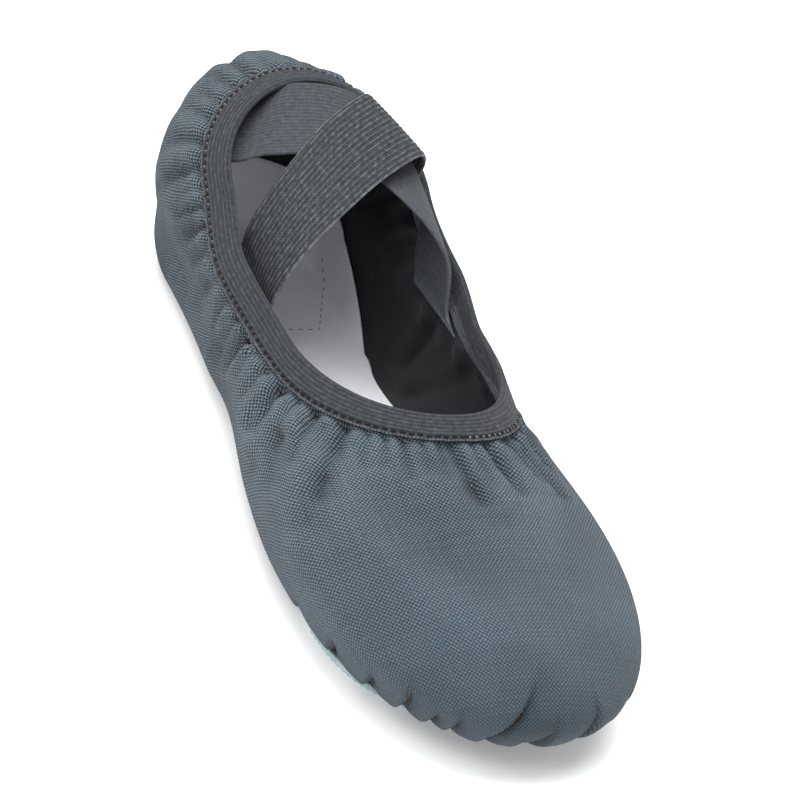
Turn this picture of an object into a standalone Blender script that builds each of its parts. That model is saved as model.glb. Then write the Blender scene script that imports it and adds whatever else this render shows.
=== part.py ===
"""Dance practice shoe: a canvas split-sole slipper with a bound collar and two crossed elastic straps.

The toe points to -Y, the heel to +Y, and the sole stands on z = 0.
Sizes are in millimetres until a mesh is made.
"""

import math

import bmesh
import bpy
import numpy as np

# Driving dimensions, in millimetres
LENGTH = 180.0
BALL_WIDTH = 74.0
THROAT_HEIGHT = 38.0
HEEL_HEIGHT = 54.0
CANVAS = 1.4
SUEDE = 1.4
INSOLE = 1.5
TAPE = 0.8
TAPE_WIDTH = 7.0
STRAP = 1.2
STRAP_WIDTH = 19.0
GAP = 0.3
MM = 0.001
SHARP_ANGLE = 50.0

# Underside: toe spring in front of the ball, a low arch at the waist, flat in between
TOE_SPRING = 2.6
SPRING_START = -54.0
ARCH_LIFT = 2.0
ARCH_FRONT = -8.0
ARCH_BACK = 34.0

# The last, one row for each ring round the shoe, from the feather line up to the collar edge.
# toe, ball, heel and back lie along the shoe, in percent of LENGTH from the toe tip.
# ball_half, heel_half and waist_in are half widths, in percent of BALL_WIDTH.
# toe_z and ball_z are in percent of THROAT_HEIGHT, waist_z and heel_z in percent of HEEL_HEIGHT.
# lean_front and lean_back shift the slack canvas sideways, in millimetres.
RING_COLUMNS = (
    "toe", "ball", "heel", "back", "ball_half", "heel_half", "waist_in", "roundness",
    "toe_z", "ball_z", "waist_z", "heel_z", "lean_front", "lean_back",
)
RINGS = {
    "feather": (5.5, 31.0, 84.5, 95.5, 39.5, 24.0, 2.5, 2.2, 0.0, 0.0, 0.0, 0.0, 0.0, 0.0),
    "girth": (0.0, 30.0, 84.5, 100.0, 50.0, 31.0, 1.0, 2.2, 42.0, 42.0, 29.5, 30.5, 0.0, 0.0),
    "shoulder": (5.3, 37.0, 84.5, 99.5, 41.5, 34.0, 1.5, 2.1, 63.5, 65.5, 47.0, 59.0, -2.0, -2.6),
    "crest": (20.5, 50.0, 82.5, 98.5, 33.0, 35.0, -2.5, 2.0, 82.0, 78.5, 60.0, 85.0, -1.2, -1.2),
    "collar": (37.2, 54.5, 75.5, 87.5, 32.0, 32.5, -2.5, 2.05, 100.0, 86.5, 66.0, 100.0, -0.6, 0.8),
}
FEATHER_RISE = 0.2
BALL_SHARE = 0.42
HEEL_SHARE = 0.74
WAIST_SHARE = (BALL_SHARE + HEEL_SHARE) / 2

# Ribs run up the shoe from the underside to the collar, two to each toe pleat
PLEATS = 14
PLEAT_DEPTH = 0.9
PLEAT_RISE = 5.0
PLEAT_REACH = 22.0
PLEAT_FADE = 0.25
SIDE_RIBS = 16
HEEL_RIBS = 10
UNDER_STEPS = 2
WALL_STEPS = 10
BAND_STEPS = 2
FINE_STEPS = 12
EDGE_POINTS = 200
BAND_SAMPLES = 120

# Openings in the canvas under the two suede soles, as ellipses: centre and half sizes
FOREFOOT_OPENING = {"y": -44.0, "long": 22.0, "wide": 18.0}
HEEL_OPENING = {"y": 63.0, "long": 10.0, "wide": 9.0}

# Suede soles: round outer end, tapered sides, rounded corners and a shallow notch towards the arch.
# away is the direction of the round end, -1 at the forefoot and +1 at the heel.
SOLE_COLUMNS = ("middle", "away", "half", "round_end", "taper", "corner_angle", "notch")
SOLES = {
    "forefoot_sole": (-45.0, -1.0, 28.5, 29.0, 42.0, 140.0, 4.0),
    "heel_sole": (61.0, 1.0, 15.5, 18.0, 21.0, 133.0, 2.5),
}
ARC_POINTS = 40
NOTCH_POINTS = 8
CORNER_POINTS = 4
CORNER_CUT = 0.35
LIFT_STATIONS = (*range(-72, -53, 4), *range(-8, 35, 4))

# Insole outline, drawn like a ring
INSOLE_RING = (8.5, 30.0, 83.0, 94.0, 35.0, 22.5, 5.0, 2.2, 0.0, 0.0, 0.0, 0.0, 0.0, 0.0)

# Straps: sewn inside the wall at mid collar and at the heel quarter, crossing over the opening.
# Each row is a cross section: the middle of the tape in millimetres, then the heading and dip
# of its width in degrees.
STRAP_COLUMNS = ("x", "y", "z", "heading", "dip")
STRAP_OVER = (
    (-20.9, 30.7, 32.0, 90.0, 12.0),
    (-11.8, 36.2, 45.0, 95.0, 10.0),
    (0.2, 43.8, 52.8, 106.0, 8.0),
    (11.6, 50.0, 55.8, 113.0, 9.0),
    (16.3, 53.6, 51.0, 118.0, 14.0),
    (16.0, 56.6, 44.0, 122.0, 16.0),
)
STRAP_UNDER = (
    (20.4, 33.0, 41.5, 86.0, 8.0),
    (14.4, 41.2, 48.4, 74.0, 7.0),
    (4.5, 51.9, 49.2, 62.0, 15.0),
    (-7.5, 59.3, 46.2, 54.0, 30.0),
    (-12.6, 61.3, 40.8, 53.0, 28.0),
)
# Where each strap end is sewn: share and side of the rib, how far it lies off the canvas,
# and how deep below the collar its end is
SEAT_STEP = 0.01
SEAT_LENGTH = 6.0
SEAT_COLUMNS = ("share", "side", "off", "deep")
SEATS = {
    "over_mid": (0.615, -1.0, 0.9, 21.0),
    "over_heel": (0.850, 1.0, 3.2, 21.0),
    "under_mid": (0.583, 1.0, 1.9, 14.0),
    "under_heel": (0.850, -1.0, 2.8, 21.0),
}
STRAP_STEPS = 4
STRAP_ACROSS = 3

# Colours as seen, 0 to 255, and roughness
FINISHES = {
    "upper": ((95, 109, 118), 0.90),
    "collar_binding": ((96, 99, 106), 0.85),
    "strap_over": ((93, 96, 103), 0.85),
    "strap_under": ((90, 93, 100), 0.85),
    "insole": ((170, 172, 180), 0.80),
    "forefoot_sole": ((176, 202, 204), 0.95),
    "heel_sole": ((176, 202, 204), 0.95),
}


def clear_scene():
    for old in list(bpy.data.objects):
        bpy.data.objects.remove(old, do_unlink=True)


def smooth(t):
    """An S-curve from 0 to 1."""
    t = np.clip(t, 0.0, 1.0)
    return t * t * (3.0 - 2.0 * t)


def unit(vectors):
    return vectors / np.linalg.norm(vectors, axis=-1, keepdims=True)


def floor_lift(y):
    """How far the underside is off the floor at this place along the shoe."""
    spring = TOE_SPRING * smooth((SPRING_START - y) / (SPRING_START + LENGTH / 2))
    along_arch = np.clip((y - ARCH_FRONT) / (ARCH_BACK - ARCH_FRONT), 0.0, 1.0)
    return spring + ARCH_LIFT * np.sin(np.pi * along_arch) ** 2


def canvas_under(y):
    """Height of the canvas underside, just over the suede."""
    return SUEDE + GAP + floor_lift(y)


def ring_points(row, share, side):
    """Points on one ring of the last: share 0 is the toe, 1 the back of the heel."""
    r = dict(zip(RING_COLUMNS, row))
    toe, ball, heel, back = (LENGTH * (r[k] / 100.0 - 0.5) for k in ("toe", "ball", "heel", "back"))
    ball_half, heel_half, waist_in = (
        BALL_WIDTH * r[k] / 100.0 for k in ("ball_half", "heel_half", "waist_in")
    )
    front_turn = np.clip(share / BALL_SHARE, 0.0, 1.0) * math.pi / 2
    along = np.clip((share - BALL_SHARE) / (HEEL_SHARE - BALL_SHARE), 0.0, 1.0)
    back_turn = np.clip((share - HEEL_SHARE) / (1.0 - HEEL_SHARE), 0.0, 1.0) * math.pi / 2
    power = 2.0 / r["roundness"]
    side_x = ball_half + (heel_half - ball_half) * smooth(along) - waist_in * np.sin(math.pi * along) ** 2
    x = np.abs(np.sin(front_turn)) ** power * side_x * np.abs(np.cos(back_turn))
    front_y = ball - (ball - toe) * np.abs(np.cos(front_turn)) ** power
    y = front_y + (heel - ball) * along + (back - heel) * np.sin(back_turn)
    toe_z, ball_z = (THROAT_HEIGHT * r[k] / 100.0 for k in ("toe_z", "ball_z"))
    waist_z, heel_z = (HEEL_HEIGHT * r[k] / 100.0 for k in ("waist_z", "heel_z"))
    z = toe_z + (ball_z - toe_z) * smooth(share / BALL_SHARE)
    z = z + (waist_z - ball_z) * smooth((share - BALL_SHARE) / (WAIST_SHARE - BALL_SHARE))
    z = z + (heel_z - waist_z) * smooth((share - WAIST_SHARE) / (1.0 - WAIST_SHARE))
    lean = r["lean_front"] + (r["lean_back"] - r["lean_front"]) * smooth(share)
    return np.stack([x * side + lean, y, z], -1)


def rib_curves(share, side):
    """Fine points up each rib, on a smooth curve through the rings."""
    knots = np.stack([ring_points(row, share, side) for row in RINGS.values()], 1)
    knots[:, 0, 2] = canvas_under(knots[:, 0, 1])
    spans = np.diff(knots, axis=1)
    chords = np.linalg.norm(spans, axis=-1, keepdims=True)
    inner = unit(spans[:, :-1]) * chords[:, 1:] + unit(spans[:, 1:]) * chords[:, :-1]
    tangents = np.concatenate([spans[:, :1], inner, spans[:, -1:]], 1)
    tangents[:, 0, 2] *= FEATHER_RISE
    tangents = unit(tangents)
    t = (np.arange(FINE_STEPS) / FINE_STEPS)[None, :, None]
    pieces = []
    for k in range(knots.shape[1] - 1):
        start, end = knots[:, k : k + 1], knots[:, k + 1 : k + 2]
        leave, arrive = (tangents[:, j : j + 1] * chords[:, k : k + 1] for j in (k, k + 1))
        pieces.append(
            (2 * t**3 - 3 * t**2 + 1) * start
            + (t**3 - 2 * t**2 + t) * leave
            + (3 * t**2 - 2 * t**3) * end
            + (t**3 - t**2) * arrive
        )
    return np.concatenate(pieces + [knots[:, -1:]], 1)


def along_rib(curve, distances):
    """Points at these distances from the start of one fine curve."""
    steps = np.linalg.norm(np.diff(curve, axis=0), axis=-1)
    reached = np.concatenate([[0.0], np.cumsum(steps)])
    return np.stack([np.interp(distances, reached, curve[:, k]) for k in range(3)], -1)


def rib_length(curve):
    return float(np.linalg.norm(np.diff(curve, axis=0), axis=-1).sum())


def rib_stations():
    """Share and side of each rib: from the toe along +X to the heel, and back along -X."""
    toe = np.linspace(0.0, BALL_SHARE, PLEATS, endpoint=False)
    waist = np.linspace(BALL_SHARE, HEEL_SHARE, SIDE_RIBS, endpoint=False)
    heel = np.linspace(HEEL_SHARE, 1.0, HEEL_RIBS, endpoint=False)
    half = np.concatenate([toe, waist, heel])
    share = np.concatenate([half, [1.0], half[:0:-1]])
    side = np.concatenate([np.ones(len(half) + 1), -np.ones(len(half) - 1)])
    return share, side


def collar_edge():
    """Close points round the collar edge."""
    half = np.linspace(0.0, 1.0, EDGE_POINTS)
    sides = [ring_points(RINGS["collar"], half, np.full(EDGE_POINTS, side)) for side in (1.0, -1.0)]
    return np.concatenate(sides)


def band_reach(curve, edge):
    """How far down a rib the binding reaches, where its width is measured square to the collar edge."""
    fine = along_rib(curve, np.linspace(rib_length(curve), 0.0, BAND_SAMPLES))
    away = np.linalg.norm(fine[:, None] - edge[None], axis=-1).min(axis=1)
    first = int(np.argmax(away > TAPE_WIDTH))
    share = (TAPE_WIDTH - away[first - 1]) / (away[first] - away[first - 1])
    return rib_length(curve) * (first - 1 + share) / (BAND_SAMPLES - 1)


def opening_half(y):
    """Half width of the openings under the suede soles, 0 along the arch seam."""
    half = np.zeros_like(y)
    for hole in (FOREFOOT_OPENING, HEEL_OPENING):
        across = np.clip(1.0 - ((y - hole["y"]) / hole["long"]) ** 2, 0.0, 1.0)
        half = half + hole["wide"] * np.sqrt(across)
    return half


def under_edge(feather, side):
    """Where each rib ends underneath: on the edge of an opening, or on the arch seam."""
    front, ball, heel, back = (LENGTH * (p / 100.0 - 0.5) for p in RINGS["feather"][:4])
    first = FOREFOOT_OPENING["y"] - FOREFOOT_OPENING["long"]
    last = HEEL_OPENING["y"] + HEEL_OPENING["long"]
    y = np.interp(feather[:, 1], [front, ball, heel, back], [first, ball, HEEL_OPENING["y"], last])
    return np.stack([opening_half(y) * side, y, canvas_under(y)], -1)


def under_normals(y):
    """Downward unit normals of the canvas underside."""
    slope = canvas_under(y + 0.5) - canvas_under(y - 0.5)
    return unit(np.stack([np.zeros_like(y), slope, -np.ones_like(y)], -1))


def grid_normals(points):
    """Outward unit normals of a grid that closes round its first index."""
    around = np.roll(points, -1, 0) - np.roll(points, 1, 0)
    return unit(np.cross(around, np.gradient(points, axis=1)))


def upper_grid():
    """Outer points of the canvas, rib by rib from the underside to the collar, and their normals."""
    share, side = rib_stations()
    curves = rib_curves(share, side)
    edge = collar_edge()
    columns = []
    heights = []
    for curve, end in zip(curves, under_edge(curves[:, 0], side)):
        whole = rib_length(curve)
        wall = whole - band_reach(curve, edge)
        up = np.linspace(0.0, wall, WALL_STEPS, endpoint=False)
        band = np.linspace(wall, whole, BAND_STEPS + 1)
        distances = np.concatenate([up, band])
        inward = np.linspace(0.0, 1.0, UNDER_STEPS, endpoint=False)[:, None]
        under = end + (curve[0] - end) * inward
        under[:, 2] = canvas_under(under[:, 1])
        columns.append(np.concatenate([under, along_rib(curve, distances)]))
        heights.append(np.concatenate([np.zeros(UNDER_STEPS), distances]))
    points = np.array(columns)
    heights = np.array(heights)
    valley = (np.arange(len(share)) % 2)[:, None]
    at_toe = smooth((BALL_SHARE - share) / (BALL_SHARE * PLEAT_FADE))[:, None]
    window = smooth(heights / PLEAT_RISE) * smooth(1.0 - heights / PLEAT_REACH)
    depth = PLEAT_DEPTH * valley * at_toe * window
    points = points - grid_normals(points) * depth[..., None]
    normals = grid_normals(points)
    normals[:, :UNDER_STEPS] = under_normals(points[:, :UNDER_STEPS, 1])
    return points, normals


def material(name):
    """The finish of one piece, its colour turned from display values to light."""
    colour, roughness = FINISHES[name]
    finish = bpy.data.materials.new(name)
    finish.use_nodes = True
    shader = finish.node_tree.nodes["Principled BSDF"]
    light = [((c / 255.0 + 0.055) / 1.055) ** 2.4 for c in colour]
    shader.inputs["Base Color"].default_value = (*light, 1.0)
    shader.inputs["Roughness"].default_value = roughness
    finish.diffuse_color = (*light, 1.0)
    return finish


def solid(name, points, faces):
    """One named piece from points in millimetres."""
    mesh = bpy.data.meshes.new(name)
    mesh.from_pydata([tuple(p * MM) for p in points], [], faces)
    mesh.validate()
    mesh.shade_smooth()
    mesh.set_sharp_from_angle(angle=math.radians(SHARP_ANGLE))
    mesh.materials.append(material(name))
    piece = bpy.data.objects.new(name, mesh)
    bpy.context.scene.collection.objects.link(piece)
    return piece


def tube_faces(around, along, closed):
    """Faces of a skin of along sections with around points each, closed into a ring or capped."""
    faces = []
    for i in range(along if closed else along - 1):
        here, there = i * around, (i + 1) % along * around
        for j in range(around):
            k = (j + 1) % around
            faces.append((here + j, here + k, there + k, there + j))
    return faces


def make_upper():
    """The canvas: an outer and an inner skin, joined round the collar and the two openings."""
    outer, normals = upper_grid()
    on_seam = np.abs(outer[:, 0, 0]) < 1e-6
    inner = outer - normals * CANVAS
    ribs, levels = outer.shape[:2]
    count = ribs * levels
    index = np.arange(count).reshape(ribs, levels)
    # Ribs that end on the arch seam share their last point with the rib across the shoe
    for i in range(ribs // 2 + 1, ribs):
        if on_seam[i]:
            index[i, 0] = index[ribs - i, 0]
    faces = []
    for i in range(ribs):
        n = (i + 1) % ribs
        for j in range(levels - 1):
            quad = (index[i, j], index[n, j], index[n, j + 1], index[i, j + 1])
            faces.append(quad)
            faces.append(tuple(v + count for v in reversed(quad)))
        rim = (index[i, -1], index[n, -1], index[n, -1] + count, index[i, -1] + count)
        faces.append(rim)
        if not (on_seam[i] and on_seam[n]):
            edge = (index[n, 0], index[i, 0], index[i, 0] + count, index[n, 0] + count)
            faces.append(edge)
    points = np.concatenate([outer.reshape(-1, 3), inner.reshape(-1, 3)])
    used = sorted({int(v) for face in faces for v in face})
    place = {v: k for k, v in enumerate(used)}
    faces = [[place[int(v)] for v in face] for face in faces]
    return solid("upper", points[used], faces)


def make_binding():
    """Elastic tape folded over the collar edge, following the canvas on both sides."""
    outer, normals = upper_grid()
    band = outer[:, -1 - BAND_STEPS :]
    out = normals[:, -1 - BAND_STEPS :]
    edge, face = band[:, -1], out[:, -1]
    up = unit(np.cross(face, np.roll(edge, -1, 0) - np.roll(edge, 1, 0)))
    far, near = GAP + TAPE, GAP
    steps = range(BAND_STEPS + 1)
    section = [band[:, k] + out[:, k] * far for k in steps]
    section.append(edge + up * far + face * near)
    section.append(edge + up * far - face * (CANVAS + near))
    section += [band[:, k] - out[:, k] * (CANVAS + far) for k in reversed(steps)]
    section += [band[:, k] - out[:, k] * (CANVAS + near) for k in steps[:-1]]
    section.append(edge + up * near - face * (CANVAS + near))
    section.append(edge + up * near + face * near)
    section += [band[:, k] + out[:, k] * near for k in reversed(steps[:-1])]
    loops = np.stack(section, 1)[:, ::-1]
    faces = tube_faces(loops.shape[1], loops.shape[0], closed=True)
    return solid("collar_binding", loops.reshape(-1, 3), faces)


def sole_outline(name):
    """Outline of a suede sole, anticlockwise seen from above."""
    s = dict(zip(SOLE_COLUMNS, SOLES[name]))
    turn = np.radians(np.linspace(-s["corner_angle"], s["corner_angle"], ARC_POINTS))
    reach = np.where(np.cos(turn) > 0, s["round_end"], s["taper"])
    arc = np.stack([s["half"] * np.sin(turn), reach * np.cos(turn)], -1)
    corner = arc[-1]
    across = np.linspace(1.0, -1.0, NOTCH_POINTS)
    notch_y = corner[1] + s["notch"] * (1.0 + np.cos(math.pi * across)) / 2
    notch = np.stack([corner[0] * across, notch_y], -1)
    outline = np.concatenate([arc[1:-1], round_corner(arc[-2], corner, notch[1])])
    outline = np.concatenate([outline, notch[2:-2], round_corner(notch[-2], arc[0], arc[1])])
    outline[:, 1] = s["middle"] + outline[:, 1] * s["away"]
    return outline if s["away"] < 0 else outline[::-1]


def round_corner(before, corner, after):
    """Points that cut a corner with a soft curve."""
    t = np.linspace(0.0, 1.0, CORNER_POINTS)[:, None]
    start = before + (corner - before) * CORNER_CUT
    end = after + (corner - after) * CORNER_CUT
    return (1 - t) ** 2 * start + 2 * t * (1 - t) * corner + t**2 * end


def make_plate(name, outline, height, thickness):
    """A sheet cut to an outline, lying at a height over the floor and following its lift."""
    sheet = bmesh.new()
    sheet.faces.new([sheet.verts.new((x, y, 0.0)) for x, y in outline])
    for y in LIFT_STATIONS:
        parts = sheet.verts[:] + sheet.edges[:] + sheet.faces[:]
        bmesh.ops.bisect_plane(sheet, geom=parts, plane_co=(0, y, 0), plane_no=(0, 1, 0))
    for v in sheet.verts:
        v.co.z = height + floor_lift(v.co.y)
    upper_side = bmesh.ops.extrude_face_region(sheet, geom=sheet.faces[:])["geom"]
    raised = [v for v in upper_side if isinstance(v, bmesh.types.BMVert)]
    bmesh.ops.translate(sheet, verts=raised, vec=(0, 0, thickness))
    bmesh.ops.triangulate(sheet, faces=sheet.faces[:])
    bmesh.ops.recalc_face_normals(sheet, faces=sheet.faces[:])
    points = np.array([v.co for v in sheet.verts])
    faces = [[v.index for v in face.verts] for face in sheet.faces]
    sheet.free()
    return solid(name, points, faces)


def make_sole(name):
    return make_plate(name, sole_outline(name), 0.0, SUEDE)


def make_insole():
    share, side = rib_stations()
    outline = ring_points(INSOLE_RING, share, side)[:, :2]
    height = SUEDE + GAP + CANVAS + GAP
    return make_plate("insole", outline, height, INSOLE)


def seat_rows(name):
    """Two strap sections lying on the inside of the canvas, the deeper one first."""
    seat = dict(zip(SEAT_COLUMNS, SEATS[name]))
    share = seat["share"] + np.array([-SEAT_STEP, 0.0, SEAT_STEP])
    curves = rib_curves(share, np.full(3, seat["side"]))
    rows = []
    for depth in (seat["deep"], seat["deep"] - SEAT_LENGTH):
        front, here, rear = (along_rib(c, rib_length(c) - depth) for c in curves)
        below, above = (along_rib(curves[1], rib_length(curves[1]) - depth + d) for d in (-1.0, 1.0))
        width = unit(rear - front)
        outward = unit(np.cross(width * seat["side"], above - below))
        middle = here - outward * (CANVAS + seat["off"] + STRAP / 2)
        heading = math.degrees(math.atan2(width[1], width[0]))
        rows.append((*middle, heading, math.degrees(math.asin(width[2]))))
    return rows


def smooth_through(rows, steps):
    """A curve through the rows, with steps points from each to the next."""
    rows = np.array(rows, float)
    padded = np.concatenate([2 * rows[:1] - rows[1:2], rows, 2 * rows[-1:] - rows[-2:-1]])
    t = (np.arange(steps) / steps)[:, None]
    pieces = []
    for k in range(1, len(padded) - 2):
        a, b, c, d = padded[k - 1 : k + 3]
        bend = (2 * a - 5 * b + 4 * c - d) * t**2 + (3 * b - a - 3 * c + d) * t**3
        pieces.append(b + ((c - a) * t + bend) / 2)
    return np.concatenate(pieces + [rows[-1:]])


def make_strap(name, first_seat, free_rows, last_seat):
    """A flat elastic tape, swept through its cross sections."""
    rows = seat_rows(first_seat) + list(free_rows) + seat_rows(last_seat)[::-1]
    path = smooth_through(rows, STRAP_STEPS)
    column = dict(zip(STRAP_COLUMNS, path.T))
    middle = np.stack([column[k] for k in ("x", "y", "z")], -1)
    heading, dip = (np.radians(column[k]) for k in ("heading", "dip"))
    width = np.stack([np.cos(dip) * np.cos(heading), np.cos(dip) * np.sin(heading), np.sin(dip)], -1)
    forward = np.gradient(middle, axis=0)
    top = unit(np.cross(forward, width))
    across = np.linspace(-0.5, 0.5, STRAP_ACROSS) * STRAP_WIDTH
    lower = [middle + width * a - top * STRAP / 2 for a in across]
    upper = [middle + width * a + top * STRAP / 2 for a in across[::-1]]
    loops = np.stack(lower + upper, 1)
    along, around = loops.shape[:2]
    faces = tube_faces(around, along, closed=False)
    for start, turn in ((0, 1), ((along - 1) * around, -1)):
        for k in range(STRAP_ACROSS - 1):
            cap = (k, around - 1 - k, around - 2 - k, k + 1)[::turn]
            faces.append(tuple(start + v for v in cap))
    return solid(name, loops.reshape(-1, 3), faces)


clear_scene()
make_upper()
make_binding()
make_insole()
for sole in SOLES:
    make_sole(sole)
make_strap("strap_over", "over_mid", STRAP_OVER, "over_heel")
make_strap("strap_under", "under_mid", STRAP_UNDER, "under_heel")
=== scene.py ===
# %% [markdown]
# A canvas dance slipper.
# This lesson dresses a split-sole practice shoe: a soft canvas upper gathered into an elastic collar,
# two crossed straps, a pale insole and two suede soles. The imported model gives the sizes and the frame.
# Every visible piece is then built again here with the folds, ribs and stitches of the real one.

# %% Load the model
import math

import bmesh
import bpy
import numpy as np
from mathutils import Matrix, Vector
from mathutils.bvhtree import BVHTree


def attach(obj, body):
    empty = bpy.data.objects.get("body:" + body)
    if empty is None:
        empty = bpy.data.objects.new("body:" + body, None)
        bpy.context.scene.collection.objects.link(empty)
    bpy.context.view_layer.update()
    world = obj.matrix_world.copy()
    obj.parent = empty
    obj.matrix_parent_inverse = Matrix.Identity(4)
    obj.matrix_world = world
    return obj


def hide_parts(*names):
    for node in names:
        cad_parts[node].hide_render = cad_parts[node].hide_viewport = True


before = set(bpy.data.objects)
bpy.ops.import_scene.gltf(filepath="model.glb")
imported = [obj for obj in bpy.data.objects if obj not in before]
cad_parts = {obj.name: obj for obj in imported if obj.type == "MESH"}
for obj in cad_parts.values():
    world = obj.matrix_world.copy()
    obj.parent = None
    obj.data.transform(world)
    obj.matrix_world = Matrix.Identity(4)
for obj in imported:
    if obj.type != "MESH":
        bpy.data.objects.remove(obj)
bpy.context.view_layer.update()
MM = 0.001
print("nodes in the model:", sorted(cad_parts))

# %% [markdown]
# The camera.
# The photograph looks down over the toe from the shoe's left, and is rolled a little.
# Angles, distance and focal length were found by fitting the outline, so they are kept as they are.
# A long lens with no shift keeps the other views honest, and the aim point centres the shoe.

# %% Camera
VIEW_AZIMUTH = math.radians(-38.35)
VIEW_ELEVATION = math.radians(33.86)
VIEW_ROLL = math.radians(23.7)
VIEW_DISTANCE = 0.7934
VIEW_LENS = 173.0
AIM_HEIGHT = 0.020
AIM_RIGHT = 0.0041
AIM_UP = 0.0016


def view_axes():
    """The camera's right, up and backward directions."""
    flat = math.cos(VIEW_ELEVATION)
    back = Vector((
        math.sin(VIEW_AZIMUTH) * flat,
        -math.cos(VIEW_AZIMUTH) * flat,
        math.sin(VIEW_ELEVATION),
    ))
    level = Vector((0, 0, 1)).cross(back).normalized()
    upright = back.cross(level)
    right = level * math.cos(VIEW_ROLL) + upright * math.sin(VIEW_ROLL)
    up = upright * math.cos(VIEW_ROLL) - level * math.sin(VIEW_ROLL)
    return right, up, back


right, up, back = view_axes()
aim = Vector((0, 0, AIM_HEIGHT)) + right * AIM_RIGHT + up * AIM_UP
camera = bpy.data.objects.new("camera", bpy.data.cameras.new("camera"))
camera.data.lens = VIEW_LENS
camera.data.clip_start = 0.01
turned = Matrix((right, up, back)).transposed().to_4x4()
camera.matrix_world = Matrix.Translation(aim + back * VIEW_DISTANCE) @ turned
bpy.context.scene.collection.objects.link(camera)
bpy.context.scene.camera = camera
bpy.context.scene.view_settings.view_transform = "Standard"
print("camera at", tuple(round(v, 3) for v in camera.location))

# %% [markdown]
# Floor and light.
# Catalogue light is broad and soft, so two large area lamps and a pale sky do the work. A narrow lamp
# from the front shines under the straps onto the back of the insole. The floor is a sheet that glows a
# little, like a light table, so that the shadow on it stays pale.


# %% Lamps and sky
def lamp(name, kind, power, place, target=(0.0, 0.0, AIM_HEIGHT)):
    """A lamp that faces the shoe, or a place on it."""
    light = bpy.data.lights.new(name, kind)
    light.energy = power
    holder = bpy.data.objects.new(name, light)
    holder.location = place
    towards = Vector(target) - Vector(place)
    holder.rotation_euler = towards.to_track_quat("-Z", "Y").to_euler()
    bpy.context.scene.collection.objects.link(holder)
    return light


OVERHEAD_PLACE = (0.0, 0.18, 1.00)
OVERHEAD_POWER = 16.5
OVERHEAD_SIZE = 0.9
SIDE_PLACE = (-0.75, -0.15, 0.85)
SIDE_POWER = 9.5
SIDE_SIZE = 0.7
HEEL_LIGHT_PLACE = (0.05, -0.95, 0.42)
HEEL_LIGHT_POWER = 38.0
HEEL_LIGHT_CONE = math.radians(1.6)
HEEL_LIGHT_BLEND = 0.6
HEEL_LIGHT_SIZE = 0.03
HEEL_TARGET = (0.006, 0.083, 0.011)
SKY_STRENGTH = 0.48
WHITE = (1.0, 1.0, 1.0, 1.0)
lamp("overhead", "AREA", OVERHEAD_POWER, OVERHEAD_PLACE).size = OVERHEAD_SIZE
lamp("side", "AREA", SIDE_POWER, SIDE_PLACE).size = SIDE_SIZE
heel_light = lamp("heel", "SPOT", HEEL_LIGHT_POWER, HEEL_LIGHT_PLACE, HEEL_TARGET)
heel_light.spot_size = HEEL_LIGHT_CONE
heel_light.spot_blend = HEEL_LIGHT_BLEND
heel_light.shadow_soft_size = HEEL_LIGHT_SIZE
sky = bpy.data.worlds.new("sky")
sky.use_nodes = True
background = sky.node_tree.nodes["Background"].inputs
background["Color"].default_value = WHITE
background["Strength"].default_value = SKY_STRENGTH
bpy.context.scene.world = sky
print("lamp heights, m:", OVERHEAD_PLACE[2], SIDE_PLACE[2], HEEL_LIGHT_PLACE[2])

# %% Floor
FLOOR_HALF = 2.0
FLOOR_TONE = (0.90, 0.90, 0.90, 1.0)
FLOOR_ROUGHNESS = 0.9
FLOOR_GLOW = 0.2
floor_mesh = bpy.data.meshes.new("floor")
corners = [(x * FLOOR_HALF, y * FLOOR_HALF, 0.0) for x, y in ((-1, -1), (1, -1), (1, 1), (-1, 1))]
floor_mesh.from_pydata(corners, [], [(0, 1, 2, 3)])
floor = bpy.data.objects.new("floor", floor_mesh)
bpy.context.scene.collection.objects.link(floor)
paper = bpy.data.materials.new("floor_paper")
paper.use_nodes = True
paper_shader = paper.node_tree.nodes["Principled BSDF"].inputs
paper_shader["Base Color"].default_value = FLOOR_TONE
paper_shader["Roughness"].default_value = FLOOR_ROUGHNESS
paper_shader["Emission Color"].default_value = WHITE
paper_shader["Emission Strength"].default_value = FLOOR_GLOW
floor_mesh.materials.append(paper)
print("floor width, m:", 2 * FLOOR_HALF)

# %% [markdown]
# The last.
# A shoe is shaped over a last, so the canvas follows a few rings round it, from the feather line
# under the foot to the collar edge. These are the same rings that the solid model uses, in percent of
# the main sizes, but here they carry many more ribs.

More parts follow.
